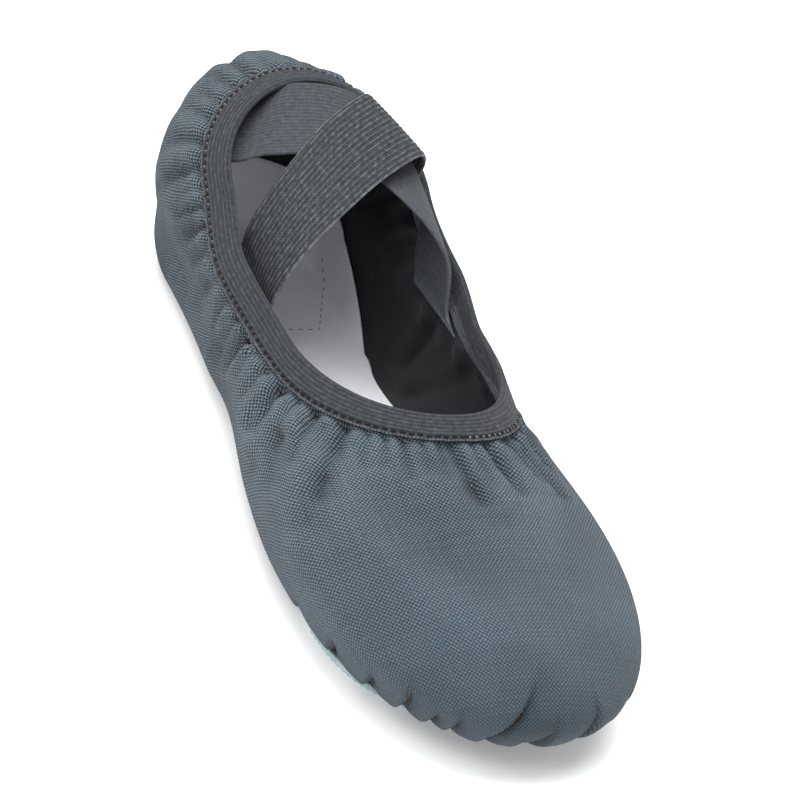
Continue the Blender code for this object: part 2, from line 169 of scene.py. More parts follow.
# %% Sizes of the last
LENGTH = 180.0
BALL_WIDTH = 74.0
THROAT_HEIGHT = 38.0
HEEL_HEIGHT = 54.0
CANVAS = 1.4
SUEDE = 1.4
INSOLE = 1.5
GAP = 0.3
TOE_SPRING = 2.6
SPRING_START = -54.0
ARCH_LIFT = 2.0
ARCH_FRONT = -8.0
ARCH_BACK = 34.0
RING_COLUMNS = (
    "toe", "ball", "heel", "back", "ball_half", "heel_half", "waist_in", "roundness",
    "toe_z", "ball_z", "waist_z", "heel_z", "lean_front", "lean_back",
)
RINGS = {
    "feather": (5.5, 31.0, 84.5, 95.5, 39.5, 24.0, 2.5, 2.2, 0.0, 0.0, 0.0, 0.0, 0.0, 0.0),
    "girth": (0.0, 30.0, 84.5, 100.0, 50.0, 31.0, 1.0, 2.2, 42.0, 42.0, 29.5, 30.5, 0.0, 0.0),
    "shoulder": (5.3, 37.0, 84.5, 99.5, 41.5, 34.0, 1.5, 2.1, 63.5, 65.5, 47.0, 59.0, -2.0, -2.6),
    "crest": (20.5, 50.0, 82.5, 98.5, 33.0, 35.0, -2.5, 2.0, 82.0, 78.5, 60.0, 85.0, -1.2, -1.2),
    "collar": (37.2, 54.5, 75.5, 87.5, 32.0, 32.5, -2.5, 2.05, 100.0, 86.5, 66.0, 100.0, -0.6, 0.8),
}
FEATHER_RISE = 0.2
BALL_SHARE = 0.42
HEEL_SHARE = 0.74
WAIST_SHARE = (BALL_SHARE + HEEL_SHARE) / 2
FINE_STEPS = 16
print("last:", LENGTH, "mm long,", BALL_WIDTH, "mm at the ball, rings:", list(RINGS))


# %% Curves of the last
def smooth(t):
    """An S-curve from 0 to 1."""
    t = np.clip(t, 0.0, 1.0)
    return t * t * (3.0 - 2.0 * t)


def unit(vectors):
    """The same directions, each one long."""
    return vectors / np.linalg.norm(vectors, axis=-1, keepdims=True)


def floor_lift(y):
    """How far the underside is off the floor at this place along the shoe."""
    spring = TOE_SPRING * smooth((SPRING_START - y) / (SPRING_START + LENGTH / 2))
    along_arch = np.clip((y - ARCH_FRONT) / (ARCH_BACK - ARCH_FRONT), 0.0, 1.0)
    return spring + ARCH_LIFT * np.sin(np.pi * along_arch) ** 2


def canvas_under(y):
    """Height of the canvas underside, just over the suede."""
    return SUEDE + GAP + floor_lift(y)


def ring_points(row, share, side):
    """Points on one ring of the last: share 0 is the toe, 1 the back of the heel."""
    r = dict(zip(RING_COLUMNS, row))
    toe, ball, heel, rear = (LENGTH * (r[k] / 100.0 - 0.5) for k in ("toe", "ball", "heel", "back"))
    halves = ("ball_half", "heel_half", "waist_in")
    ball_half, heel_half, waist_in = (BALL_WIDTH * r[k] / 100.0 for k in halves)
    front_turn = np.clip(share / BALL_SHARE, 0.0, 1.0) * math.pi / 2
    along = np.clip((share - BALL_SHARE) / (HEEL_SHARE - BALL_SHARE), 0.0, 1.0)
    back_turn = np.clip((share - HEEL_SHARE) / (1.0 - HEEL_SHARE), 0.0, 1.0) * math.pi / 2
    power = 2.0 / r["roundness"]
    side_x = ball_half + (heel_half - ball_half) * smooth(along)
    side_x = side_x - waist_in * np.sin(math.pi * along) ** 2
    x = np.abs(np.sin(front_turn)) ** power * side_x * np.abs(np.cos(back_turn))
    front_y = ball - (ball - toe) * np.abs(np.cos(front_turn)) ** power
    y = front_y + (heel - ball) * along + (rear - heel) * np.sin(back_turn)
    toe_z, ball_z = (THROAT_HEIGHT * r[k] / 100.0 for k in ("toe_z", "ball_z"))
    waist_z, heel_z = (HEEL_HEIGHT * r[k] / 100.0 for k in ("waist_z", "heel_z"))
    z = toe_z + (ball_z - toe_z) * smooth(share / BALL_SHARE)
    z = z + (waist_z - ball_z) * smooth((share - BALL_SHARE) / (WAIST_SHARE - BALL_SHARE))
    z = z + (heel_z - waist_z) * smooth((share - WAIST_SHARE) / (1.0 - WAIST_SHARE))
    lean = r["lean_front"] + (r["lean_back"] - r["lean_front"]) * smooth(share)
    return np.stack([x * side + lean, y, z], -1)


print("lift under the toe, mm:", round(float(floor_lift(-LENGTH / 2)), 2))


# %% Ribs up the last
def rib_curves(share, side):
    """Fine points up each rib, on a smooth curve through the rings."""
    knots = np.stack([ring_points(row, share, side) for row in RINGS.values()], 1)
    knots[:, 0, 2] = canvas_under(knots[:, 0, 1])
    spans = np.diff(knots, axis=1)
    chords = np.linalg.norm(spans, axis=-1, keepdims=True)
    inner = unit(spans[:, :-1]) * chords[:, 1:] + unit(spans[:, 1:]) * chords[:, :-1]
    tangents = np.concatenate([spans[:, :1], inner, spans[:, -1:]], 1)
    tangents[:, 0, 2] *= FEATHER_RISE
    tangents = unit(tangents)
    t = (np.arange(FINE_STEPS) / FINE_STEPS)[None, :, None]
    pieces = []
    for k in range(knots.shape[1] - 1):
        start, end = knots[:, k : k + 1], knots[:, k + 1 : k + 2]
        leave, arrive = (tangents[:, j : j + 1] * chords[:, k : k + 1] for j in (k, k + 1))
        pieces.append(
            (2 * t**3 - 3 * t**2 + 1) * start
            + (t**3 - 2 * t**2 + t) * leave
            + (3 * t**2 - 2 * t**3) * end
            + (t**3 - t**2) * arrive
        )
    return np.concatenate(pieces + [knots[:, -1:]], 1)


def reached(curve):
    """Distance along a line of points, from its first one."""
    steps = np.linalg.norm(np.diff(curve, axis=0), axis=-1)
    return np.concatenate([[0.0], np.cumsum(steps)])


def along_line(curve, distances):
    """Points at these distances along a line of points."""
    at = reached(curve)
    return np.stack([np.interp(distances, at, curve[:, k]) for k in range(curve.shape[1])], -1)


heel_rib = rib_curves(np.array([1.0]), 1.0)[0]
print("heel rib, mm:", round(reached(heel_rib)[-1], 1))

# %% [markdown]
# The bare canvas.
# The upper is one cloth, so it is laid out as one grid: ribs go round the shoe, and levels go from
# the openings under the suede, out to the feather line and up to the collar.
# Toe ribs stand closest, because the pleats there need the finest points.

# %% Ribs and levels of the canvas
TOE_RIBS = 170
SIDE_RIBS = 88
HEEL_RIBS = 64
UNDER_LEVELS = 16
WALL_LEVELS = 82
COLLAR_TRIM = 0.8
FOREFOOT_OPENING = {"y": -44.0, "long": 22.0, "wide": 18.0}
HEEL_OPENING = {"y": 63.0, "long": 10.0, "wide": 9.0}


def rib_stations():
    """Share and side of each rib: from the toe along +X to the heel, and back along -X."""
    toe = np.linspace(0.0, BALL_SHARE, TOE_RIBS, endpoint=False)
    waist = np.linspace(BALL_SHARE, HEEL_SHARE, SIDE_RIBS, endpoint=False)
    heel = np.linspace(HEEL_SHARE, 1.0, HEEL_RIBS, endpoint=False)
    half = np.concatenate([toe, waist, heel])
    share = np.concatenate([half, [1.0], half[:0:-1]])
    side = np.concatenate([np.ones(len(half) + 1), -np.ones(len(half) - 1)])
    return share, side


def under_edge(feather, side):
    """Where each rib ends underneath: on the edge of an opening, or on the arch seam."""
    front, ball, heel, rear = (LENGTH * (p / 100.0 - 0.5) for p in RINGS["feather"][:4])
    first = FOREFOOT_OPENING["y"] - FOREFOOT_OPENING["long"]
    last = HEEL_OPENING["y"] + HEEL_OPENING["long"]
    y = np.interp(feather[:, 1], [front, ball, heel, rear], [first, ball, HEEL_OPENING["y"], last])
    half = np.zeros_like(y)
    for hole in (FOREFOOT_OPENING, HEEL_OPENING):
        half += hole["wide"] * np.sqrt(np.clip(1.0 - ((y - hole["y"]) / hole["long"]) ** 2, 0.0, 1.0))
    return np.stack([half * side, y, canvas_under(y)], -1)


def grid_normals(points):
    """Outward unit normals of a grid that closes round its first index."""
    around = np.roll(points, -1, 0) - np.roll(points, 1, 0)
    return unit(np.cross(around, np.gradient(points, axis=1)))


def bare_canvas():
    """Points of the smooth canvas, and the height of each along its rib, below 0 underneath."""
    share, side = rib_stations()
    curves = rib_curves(share, side)
    columns = []
    heights = []
    for curve, end in zip(curves, under_edge(curves[:, 0], side)):
        up_wall = np.linspace(0.0, reached(curve)[-1] - COLLAR_TRIM, WALL_LEVELS)
        outward = np.linspace(0.0, 1.0, UNDER_LEVELS, endpoint=False)[:, None]
        under = end + (curve[0] - end) * outward
        under[:, 2] = canvas_under(under[:, 1])
        columns.append(np.concatenate([under, along_line(curve, up_wall)]))
        inward = -np.linalg.norm(curve[0] - under, axis=-1)
        heights.append(np.concatenate([inward, up_wall]))
    return np.array(columns), np.array(heights)


share, side = rib_stations()
turn = (share * side)[:, None]
bare, height = bare_canvas()
facing = grid_normals(bare)
facing[:, :UNDER_LEVELS] = (0.0, 0.0, -1.0)
on_seam = np.abs(bare[:, 0, 0]) < 1e-6
print("canvas grid:", bare.shape[0], "ribs with", bare.shape[1], "levels")

# %% [markdown]
# Measuring from the collar.
# Gathers start at the elastic and run square to it, so each point of the canvas needs its place along
# the collar edge and its distance from that edge.


# %% Place along the collar and distance from it
def collar_places(points, edge, edge_place):
    """For each point: place along the collar from the throat, and distance from the collar edge."""
    tangent = unit(np.roll(edge, -1, 0) - np.roll(edge, 1, 0))
    place = np.zeros(points.shape[:2])
    away = np.zeros(points.shape[:2])
    for i, column in enumerate(points):
        gaps = np.linalg.norm(column[:, None] - edge[None], axis=-1)
        near = gaps.argmin(axis=1)
        slide = ((column - edge[near]) * tangent[near]).sum(-1)
        place[i] = edge_place[near] + slide
        away[i] = gaps.min(axis=1)
    return place, away


half_count = len(share) // 2 + 1
collar_edge = bare[:, -1]
one_side = reached(collar_edge[:half_count])
collar_half = one_side[-1]
other_side = reached(collar_edge[np.r_[0, len(share) - 1 : half_count - 1 : -1]])
edge_place = np.concatenate([one_side, -other_side[:0:-1]])
place, away = collar_places(bare, collar_edge, edge_place)
print("collar length, mm:", round(2 * collar_half, 1))

# %% [markdown]
# Folds in the canvas.
# Soft canvas never lies smooth: the toe is pleated into the sole, the elastic gathers the collar, and
# the empty sides sag into creases. Each kind is placed in the shoe's own millimetres, as troughs
# pressed into the grid along its normals. Pleats have one steep side, like folded cloth.
# Places along the collar are counted from the throat, minus on the shoe's left.

# %% Toe pleats
TAPE_WIDTH = 6.2
# turn round the toe, depth, reach up the wall, and how fast the crease leans over higher up
PLEATS = (
    (-0.390, 0.8, 11.0, 0.0), (-0.320, 1.6, 15.0, 0.0), (-0.255, 1.9, 16.0, 0.0),
    (-0.201, 2.0, 20.0, 0.0), (-0.158, 1.8, 17.0, 0.0), (-0.127, 1.7, 19.0, 0.0),
    (-0.078, 2.2, 31.0, 0.0045), (-0.026, 1.2, 16.0, 0.0), (0.004, 1.7, 21.0, 0.0),
    (0.073, 1.9, 25.0, 0.0), (0.118, 1.4, 17.0, 0.0), (0.166, 1.8, 20.0, 0.0),
    (0.212, 1.6, 16.0, 0.0), (0.262, 1.7, 18.0, 0.0), (0.322, 1.4, 14.0, 0.0),
    (0.385, 0.8, 11.0, 0.0),
)
STEEP = 0.0036
GENTLE = 0.016
LEAN_START = 12.0
PLEAT_FADE = 0.5


def pleat_relief():
    """Troughs of the toe pleats, steep on the side away from the toe centre."""
    relief = np.zeros_like(height)
    for centre, depth, reach, lean in PLEATS:
        line = centre + lean * np.maximum(height - LEAN_START, 0.0)
        off = (turn - line) * (1.0 if centre > 0 else -1.0)
        dent = np.where(off > 0, np.exp(-((off / STEEP) ** 2)), np.exp(-np.abs(off) / GENTLE))
        relief -= depth * dent * smooth((reach - height) / (PLEAT_FADE * reach))
    return relief


pleats = pleat_relief()
print("toe pleats:", len(PLEATS), "deepest", round(-pleats.min(), 2), "mm")

# %% Puckers under the collar
# start and end, each as place along the collar and distance from its edge, then depth and half width
PUCKERS = (
    (-118.0, 6.5, -118.8, 16.2, 1.2, 1.1), (-113.3, 6.3, -116.3, 20.9, 2.2, 1.2),
    (-109.0, 6.5, -111.0, 16.2, 1.5, 1.2), (-104.6, 6.5, -106.4, 13.7, 1.4, 1.1),
    (-100.3, 6.5, -103.3, 15.0, 1.5, 1.2), (-95.4, 6.5, -98.8, 19.5, 1.8, 1.4),
    (-90.4, 6.5, -92.7, 19.5, 2.0, 1.3), (-86.4, 6.5, -88.0, 13.7, 1.2, 1.0),
    (-82.0, 6.5, -85.4, 16.9, 2.0, 1.2), (-77.6, 6.5, -80.2, 17.6, 2.0, 1.2),
    (-72.6, 6.5, -76.2, 18.2, 1.8, 1.3), (-66.4, 6.5, -69.8, 16.2, 1.4, 1.2),
    (-60.0, 6.5, -62.6, 16.2, 1.5, 1.3), (-54.0, 6.5, -56.1, 13.7, 1.2, 1.1),
    (-48.5, 6.5, -51.1, 16.9, 2.8, 1.4), (-44.0, 6.5, -44.8, 12.4, 0.6, 1.0),
    (-39.4, 6.5, -39.7, 14.3, 1.3, 1.2), (-34.2, 6.5, -32.5, 16.9, 2.8, 1.3),
    (-29.8, 6.5, -27.5, 17.6, 1.2, 1.1), (-27.2, 15.5, -24.8, 24.0, 1.4, 1.7),
    (-25.8, 6.5, -22.9, 18.9, 2.2, 1.2), (-22.4, 9.0, -20.6, 20.7, 1.2, 1.2),
    (-19.5, 6.5, -17.6, 24.1, 2.2, 1.4), (-18.0, 20.0, -17.4, 31.0, 1.2, 1.9),
    (-15.6, 6.5, -14.3, 14.3, 1.2, 0.9), (-12.6, 6.5, -11.6, 13.7, 1.2, 0.9),
    (-9.7, 6.5, -8.3, 15.0, 1.5, 0.9), (-7.0, 6.5, -6.0, 13.7, 1.2, 0.8),
    (-4.4, 6.5, -3.9, 14.3, 1.4, 0.9), (-2.2, 6.5, -0.1, 20.1, 2.1, 1.1),
    (-0.6, 17.0, 0.6, 25.0, 0.9, 1.6), (1.6, 6.5, 2.1, 16.2, 1.5, 0.9),
    (4.6, 6.5, 6.2, 18.9, 2.4, 1.1), (8.0, 6.5, 9.0, 13.7, 1.0, 0.8),
    (10.4, 6.5, 12.0, 17.6, 2.0, 1.0), (13.6, 6.5, 14.9, 22.8, 1.8, 1.2),
    (17.8, 6.5, 19.4, 17.6, 2.0, 1.1), (22.4, 6.5, 23.7, 16.2, 2.2, 1.2),
    (27.0, 6.5, 27.8, 15.0, 1.7, 1.1), (31.6, 6.5, 32.9, 17.6, 2.2, 1.2),
    (36.5, 6.5, 36.9, 13.7, 1.5, 1.1), (42.0, 6.5, 43.0, 16.2, 2.0, 1.2),
    (49.0, 6.5, 51.0, 16.2, 2.0, 1.3), (56.0, 6.5, 56.6, 13.7, 1.4, 1.2),
    (63.0, 6.5, 65.0, 16.2, 1.7, 1.3), (70.5, 6.5, 72.5, 15.0, 1.5, 1.2),
    (77.5, 6.5, 80.1, 17.6, 1.8, 1.3), (84.0, 6.5, 85.3, 13.7, 1.4, 1.1),
    (90.0, 6.5, 92.6, 17.6, 1.8, 1.3), (95.6, 6.5, 97.4, 15.0, 1.5, 1.2),
    (101.0, 6.5, 103.6, 16.2, 1.7, 1.2), (106.4, 6.5, 108.0, 13.7, 1.4, 1.1),
    (111.0, 6.5, 112.8, 17.6, 2.0, 1.2), (115.6, 6.5, 116.9, 17.6, 1.8, 1.2),
    (119.0, 6.5, 119.5, 16.2, 1.4, 1.1),
)
PUCKER_END = 0.45
ROLL_SHARE = 0.28
ROLL_PLACE = 2.2
ROLL_WIDTH = 1.2
VALLEY_ROUND = 0.35
VALLEY_WIDTH = 0.8


def trough(off, depth, width):
    """A narrow valley with a round roll on each side, by distance from its line."""
    roll = ROLL_SHARE * np.exp(-(((off - ROLL_PLACE * width) / (ROLL_WIDTH * width)) ** 2))
    valley = np.exp((VALLEY_ROUND - np.hypot(off, VALLEY_ROUND)) / (VALLEY_WIDTH * width))
    return depth * (roll - valley)


def from_segment(points, start, end):
    """Share along a segment and distance from it, for each point."""
    start, end = np.array(start), np.array(end)
    span = end - start
    along = np.clip(((points - start) @ span) / (span @ span), 0.0, 1.0)
    return along, np.linalg.norm(points - start - along[..., None] * span, axis=-1)


def pucker_relief():
    """Folds that the elastic draws in, deepest at the tape and shallower further out."""
    chart = np.stack([place, away], -1)
    relief = np.zeros_like(height)
    for start_place, start_away, end_place, end_away, depth, width in PUCKERS:
        along, off = from_segment(chart, (start_place, start_away), (end_place, end_away))
        relief += trough(off, depth * (1.0 - (1.0 - PUCKER_END) * along), width)
    return relief


puckers = pucker_relief()
print("puckers:", len(PUCKERS), "deepest", round(-puckers.min(), 2), "mm")

# %% Fine gathers between the puckers
FINE_PITCH = 2.1
FINE_HALF = 0.5
FINE_REACH = (2.5, 6.0)
FINE_DEPTH = (0.15, 0.45)
FINE_SHIFT = (-0.3, 0.3)
FINE_SLANT = (-0.25, 0.25)
draw = np.random.default_rng(12)


def gather_relief():
    """Small troughs square to the collar, with an uneven spacing, that fade out over the cloth."""
    relief = np.zeros_like(height)
    below = away - TAPE_WIDTH
    for k in range(int(2 * collar_half / FINE_PITCH)):
        centre = -collar_half + (k + 0.5 + draw.uniform(*FINE_SHIFT)) * FINE_PITCH
        depth = draw.uniform(*FINE_DEPTH)
        reach = draw.uniform(*FINE_REACH)
        off = place - centre - draw.uniform(*FINE_SLANT) * below
        relief -= depth * np.exp(-((off / FINE_HALF) ** 2)) * smooth((reach - below) / reach)
    return relief


gathers = gather_relief()
print("fine gathers, deepest:", round(-gathers.min(), 2), "mm")

# %% Creases in the slack sides
# start, end, depth and half width of each crease, in the shoe's own frame
CREASES = (
    ((-29.0, -1.0, 27.0), (-33.5, -5.0, 20.0), 1.0, 1.7),
    ((-31.0, -10.0, 25.0), (-35.0, -15.0, 17.0), 0.9, 1.8),
    ((-28.5, 14.0, 27.0), (-26.5, 27.0, 12.0), 1.2, 2.2),
    ((-27.0, 36.0, 24.0), (-24.5, 42.0, 13.0), 0.9, 2.0),
    ((-28.5, 47.0, 31.0), (-26.0, 54.0, 20.0), 1.0, 1.9),
    ((-27.0, 60.0, 34.0), (-26.5, 68.0, 24.0), 0.9, 2.0),
    ((-20.0, 78.0, 38.0), (-17.0, 83.0, 26.0), 0.8, 2.0),
    ((15.0, 80.0, 40.0), (14.0, 84.0, 27.0), 0.8, 2.0),
    ((29.5, -2.0, 27.0), (33.0, -6.0, 20.0), 1.0, 1.6),
    ((28.5, 14.0, 28.0), (29.0, 23.0, 17.0), 1.0, 2.0),
    ((26.0, 40.0, 30.0), (24.5, 49.0, 18.0), 1.0, 2.0),
    ((25.0, 58.0, 36.0), (24.0, 64.0, 24.0), 0.9, 1.9),
)
SLACK_DEPTH = 0.35
# strength, then two crossing waves: length along the collar, length up the wall, and start
SLACK_WAVES = (
    (1.0, (7.3, 11.0, 0.6), (-19.0, 8.5, 1.1)),
    (0.6, (4.1, -17.0, 0.0), (math.inf, 13.0, 0.3)),
)
WALL_FADE = 8.0
SLACK_FADE = 6.0
# distance below the tape, half width and height of the roll there, and of the pinch beside it
TAPE_ROLL = (2.6, 1.8, 0.4)
TAPE_PINCH = (0.1, 0.8, -0.5)


def crease_relief():
    """Soft troughs along straight lines through the cloth."""
    relief = np.zeros_like(height)
    for start, end, depth, width in CREASES:
        relief += trough(from_segment(bare, start, end)[1], depth, width)
    return relief


def slack_wave(along_length, up_length, start):
    """A slow wave over the cloth."""
    return np.sin(place / along_length + height / up_length + start)


def tape_line(below, half, size):
    """A raised or pressed line at an even distance below the tape."""
    return size * np.exp(-(((away - TAPE_WIDTH - below) / half) ** 2))


def slack_relief():
    """The slow unevenness of cloth with no foot in it, and the roll that the elastic pulls up."""
    waves = sum(strength * slack_wave(*one) * slack_wave(*two) for strength, one, two in SLACK_WAVES)
    on_wall = smooth(height / WALL_FADE) * smooth((away - TAPE_WIDTH) / SLACK_FADE)
    return SLACK_DEPTH * waves * on_wall + tape_line(*TAPE_ROLL) + tape_line(*TAPE_PINCH)


slack = crease_relief() + slack_relief()
print("creases placed:", len(CREASES), "slack waves:", len(SLACK_WAVES))

# %% Seams, and all folds together
SEAM_DEPTH = 0.5
SEAM_WIDTH = 0.7
FOOT_FADE = 3.0
HEEL_SEAM_FROM = 0.9
HEEL_SEAM_RISE = 6.0
HEEL_SEAM_SHIFT = 0.5
HEEL_SEAM_SHARE = 0.6
SEAM_UNDER_TAPE = 1.0
SEAM_FADE = 2.0
TROUGH_UNDER_TAPE = 0.5
TAPE_FADE = 1.5
# relief depth that gives full painted shade in a fold, and the most painted highlight on a crest
PAINTED_SHADING_DEPTH = 1.8
PAINTED_CREST_HIGHLIGHT = 0.25


def seam_relief():
    """The closed seam along the arch, and the one up the back of the heel."""
    arch = np.exp(-((bare[..., 0] / SEAM_WIDTH) ** 2)) * smooth(-height / FOOT_FADE)
    heel_gap = np.abs(bare[..., 0] - HEEL_SEAM_SHIFT * facing[..., 0])
    at_back = (share[:, None] > HEEL_SEAM_FROM) * smooth(height / HEEL_SEAM_RISE)
    heel = np.exp(-((heel_gap / SEAM_WIDTH) ** 2)) * at_back
    clear = smooth((away - TAPE_WIDTH + SEAM_UNDER_TAPE) / SEAM_FADE)
    return -SEAM_DEPTH * (arch + HEEL_SEAM_SHARE * heel * clear)


def under_tape(relief):
    """Flatten the cloth under the tape: troughs run a little way in, and rolls stay outside."""
    pressed = np.minimum(relief, 0.0) * smooth((away - TAPE_WIDTH + TROUGH_UNDER_TAPE) / TAPE_FADE)
    return pressed + np.maximum(relief, 0.0) * smooth((away - TAPE_WIDTH) / TAPE_FADE)


off_floor = smooth(height / FOOT_FADE + 0.5)
fold_relief = under_tape(slack + puckers + gathers) * off_floor
fine_relief = pleats + seam_relief()
relief = fold_relief + fine_relief
outer = bare + facing * relief[..., None]
# painted shade in the fold valleys and a weaker painted highlight on the crests, kept for each point
painted_fold_shading = np.clip(relief / PAINTED_SHADING_DEPTH, -1.0, PAINTED_CREST_HIGHLIGHT) * off_floor
print("relief from", round(relief.min(), 2), "to", round(relief.max(), 2), "mm")

# %% [markdown]
# The weave's own map.
# The cloth runs over the vamp with its threads along and across the shoe, and is shaped down the sides.
# A flat projection would smear there. So a pair of thread directions is carried from the
# throat along the collar and down every rib, without spin, and the distance walked along each thread
# becomes the map. The two sides meet at the heel seam, as the real cloth does.


# %% Thread directions carried over the cloth
def carry(direction, normal):
    """Turn a thread direction into the tangent plane at the next point."""
    flat = direction - (direction * normal).sum(-1, keepdims=True) * normal
    return unit(flat)


def walk(points, normals, thread, start):
    """Thread coordinates along lines of points; every line starts with its own thread direction."""
    map_at = [start]
    threads = [thread]
    for k in range(1, points.shape[1]):
        cross = np.cross(normals[:, k - 1], thread)
        step = points[:, k] - points[:, k - 1]
        moved = np.stack([(step * thread).sum(-1), (step * cross).sum(-1)], -1)
        map_at.append(map_at[-1] + moved)
        thread = carry(thread, normals[:, k])
        threads.append(thread)
    return np.stack(map_at, 1), np.stack(threads, 1)


def cloth_map(order):
    """Map of one side of the shoe, its ribs given from the toe to the heel."""
    points = bare[order][:, ::-1]
    normals = facing[order][:, ::-1]
    first = carry(np.array([[1.0, 0.0, 0.0]]), normals[:1, 0])
    along_collar, threads = walk(points[None, :, 0], normals[None, :, 0], first, np.zeros((1, 2)))
    down_ribs, _ = walk(points, normals, threads[0], along_collar[0])
    return down_ribs[:, ::-1]


right_order = np.arange(half_count)
left_order = np.r_[0, np.arange(len(share) - 1, half_count - 2, -1)]
right_map = cloth_map(right_order)
left_map = cloth_map(left_order)
print("cloth map spans, mm:", np.round(np.ptp(right_map.reshape(-1, 2), axis=0), 1))

# %% [markdown]
# Shader helpers.
# Materials are made of small node trees. One helper adds a node and feeds its inputs, either with a
# plain value or by a link, so each tree reads like a recipe.


# %% Node helpers
def node(tree, kind, feeds=None, **settings):
    """Add one node, set its options, and feed its inputs with values or links."""
    made = tree.nodes.new(kind)
    for key, value in settings.items():
        setattr(made, key, value)
    for key, value in (feeds or {}).items():
        if isinstance(value, bpy.types.NodeSocket):
            tree.links.new(value, made.inputs[key])
        else:
            made.inputs[key].default_value = value
    return made


def maths(tree, operation, first, second=0.0, third=0.0):
    """One sum on numbers."""
    feeds = {0: first, 1: second, 2: third}
    return node(tree, "ShaderNodeMath", feeds, operation=operation).outputs[0]


def vectors(tree, operation, first, second=(0.0, 0.0, 0.0), **named):
    """One sum on vectors or colours."""
    feeds = {0: first, 1: second, **named}
    return node(tree, "ShaderNodeVectorMath", feeds, operation=operation).outputs[0]


def new_group(name, inputs, outputs):
    """A shader node group with named sockets, and its two end nodes."""
    group = bpy.data.node_groups.new(name, "ShaderNodeTree")
    for socket, kind in inputs.items():
        group.interface.new_socket(socket, in_out="INPUT", socket_type=kind)
    for socket, kind in outputs.items():
        group.interface.new_socket(socket, in_out="OUTPUT", socket_type=kind)
    return group, group.nodes.new("NodeGroupInput"), group.nodes.new("NodeGroupOutput")


print("node helpers:", [helper.__name__ for helper in (node, maths, vectors, new_group)])


# %% Colour and finish helpers
SHEEN_ROUGHNESS = 0.6
CLOTH_GLOSS = 0.2


def shown(red, green, blue):
    """A colour as seen on a screen, 0 to 255, turned into light."""
    parts = [c / 255.0 for c in (red, green, blue)]
    return (*(((c + 0.055) / 1.055) ** 2.4 for c in parts), 1.0)


def ramp(tree, value, stops):
    """A colour ramp from a list of positions and colours."""
    made = node(tree, "ShaderNodeValToRGB", {0: value})
    bar = made.color_ramp.elements
    while len(bar) < len(stops):
        bar.new(0.5)
    for stop, (position, colour) in zip(bar, stops):
        stop.position = position
        stop.color = colour
    return made.outputs[0]


def finish(parts, colour, height, distance, strength, roughness, sheen):
    """A cloth material from a colour and a height that both vary over the surface."""
    made, tree, shader = parts
    bump = node(tree, "ShaderNodeBump", {"Height": height, "Distance": distance, "Strength": strength})
    tree.links.new(colour, shader.inputs["Base Color"])
    tree.links.new(bump.outputs[0], shader.inputs["Normal"])
    shader.inputs["Roughness"].default_value = roughness
    shader.inputs["Sheen Weight"].default_value = sheen
    shader.inputs["Sheen Roughness"].default_value = SHEEN_ROUGHNESS
    shader.inputs["Specular IOR Level"].default_value = CLOTH_GLOSS
    return made


def new_material(name):
    """An empty material, its node tree and its shader."""
    made = bpy.data.materials.new(name)
    made.use_nodes = True
    return made, made.node_tree, made.node_tree.nodes["Principled BSDF"]


print("middle grey as light:", round(shown(128, 128, 128)[0], 3))

# %% [markdown]
# Plain weave.
# Canvas shows as a lattice of light knuckles, where a thread comes over, with dark pits between. The
# knuckles are a real bump, and the tone adds painted highlight on them and painted shade in the pits.
# Two cosines make it: both high is a warp knuckle, both low is a weft knuckle, and one of each is a pit.
# Slow noise bends the threads and makes some of them thicker and lighter, as in spun cotton.

# %% Weave group
FLOAT = "NodeSocketFloat"
VECTOR = "NodeSocketVector"
DRIFT_SCALE = 0.45
SLUB_SCALE = 0.9
SLUB_STRETCH = 0.05
SLUB_TONE = 0.3
WEFT_HEIGHT = 0.72
WEFT_TONE = 0.8
PIT_CURVE = 0.75
weave, given, result = new_group(
    "plain_weave", {"Cloth": VECTOR, "Pitch": FLOAT, "Wander": FLOAT}, {"Height": FLOAT, "Tone": FLOAT}
)
per_thread = maths(weave, "DIVIDE", 1.0, given.outputs["Pitch"])
threads = vectors(weave, "SCALE", given.outputs["Cloth"], Scale=per_thread)
drift = node(weave, "ShaderNodeTexNoise", {"Vector": threads, "Scale": DRIFT_SCALE, "Detail": 2.0})
centred = vectors(weave, "SUBTRACT", drift.outputs["Color"], (0.5, 0.5, 0.5))
bent = vectors(weave, "SCALE", centred, Scale=given.outputs["Wander"])
split = node(weave, "ShaderNodeSeparateXYZ", {0: vectors(weave, "ADD", threads, bent)})
waves = []
for axis in (0, 1):
    wave = maths(weave, "COSINE", maths(weave, "MULTIPLY", split.outputs[axis], 2 * math.pi))
    waves.append(maths(weave, "MULTIPLY_ADD", wave, 0.5, 0.5))
over = maths(weave, "MULTIPLY", waves[0], waves[1])
lows = [maths(weave, "SUBTRACT", 1.0, wave) for wave in waves]
under = maths(weave, "MULTIPLY", lows[0], lows[1])
tones = []
for stretch in ((1.0, SLUB_STRETCH, 1.0), (SLUB_STRETCH, 1.0, 1.0)):
    long_way = vectors(weave, "MULTIPLY", threads, stretch)
    slub = node(weave, "ShaderNodeTexNoise", {"Vector": long_way, "Scale": SLUB_SCALE, "Detail": 1.0})
    tones.append(slub.outputs[0])
uneven = maths(weave, "MULTIPLY_ADD", maths(weave, "ADD", tones[0], tones[1]), 0.5, -0.5)
knuckles = maths(weave, "MULTIPLY_ADD", under, WEFT_HEIGHT, over)
weave.links.new(knuckles, result.inputs["Height"])
# painted highlight on the knuckles and painted shade in the pits
lit = maths(weave, "POWER", maths(weave, "MULTIPLY_ADD", under, WEFT_TONE, over), PIT_CURVE)
weave.links.new(maths(weave, "MULTIPLY_ADD", uneven, SLUB_TONE, lit), result.inputs["Tone"])
print("weave group nodes:", len(weave.nodes))


# %% Cloth helpers
BLOTCHES = 0.22
BLOTCH_SCALE = 60.0
CLOTH_ROUGHNESS = 0.92
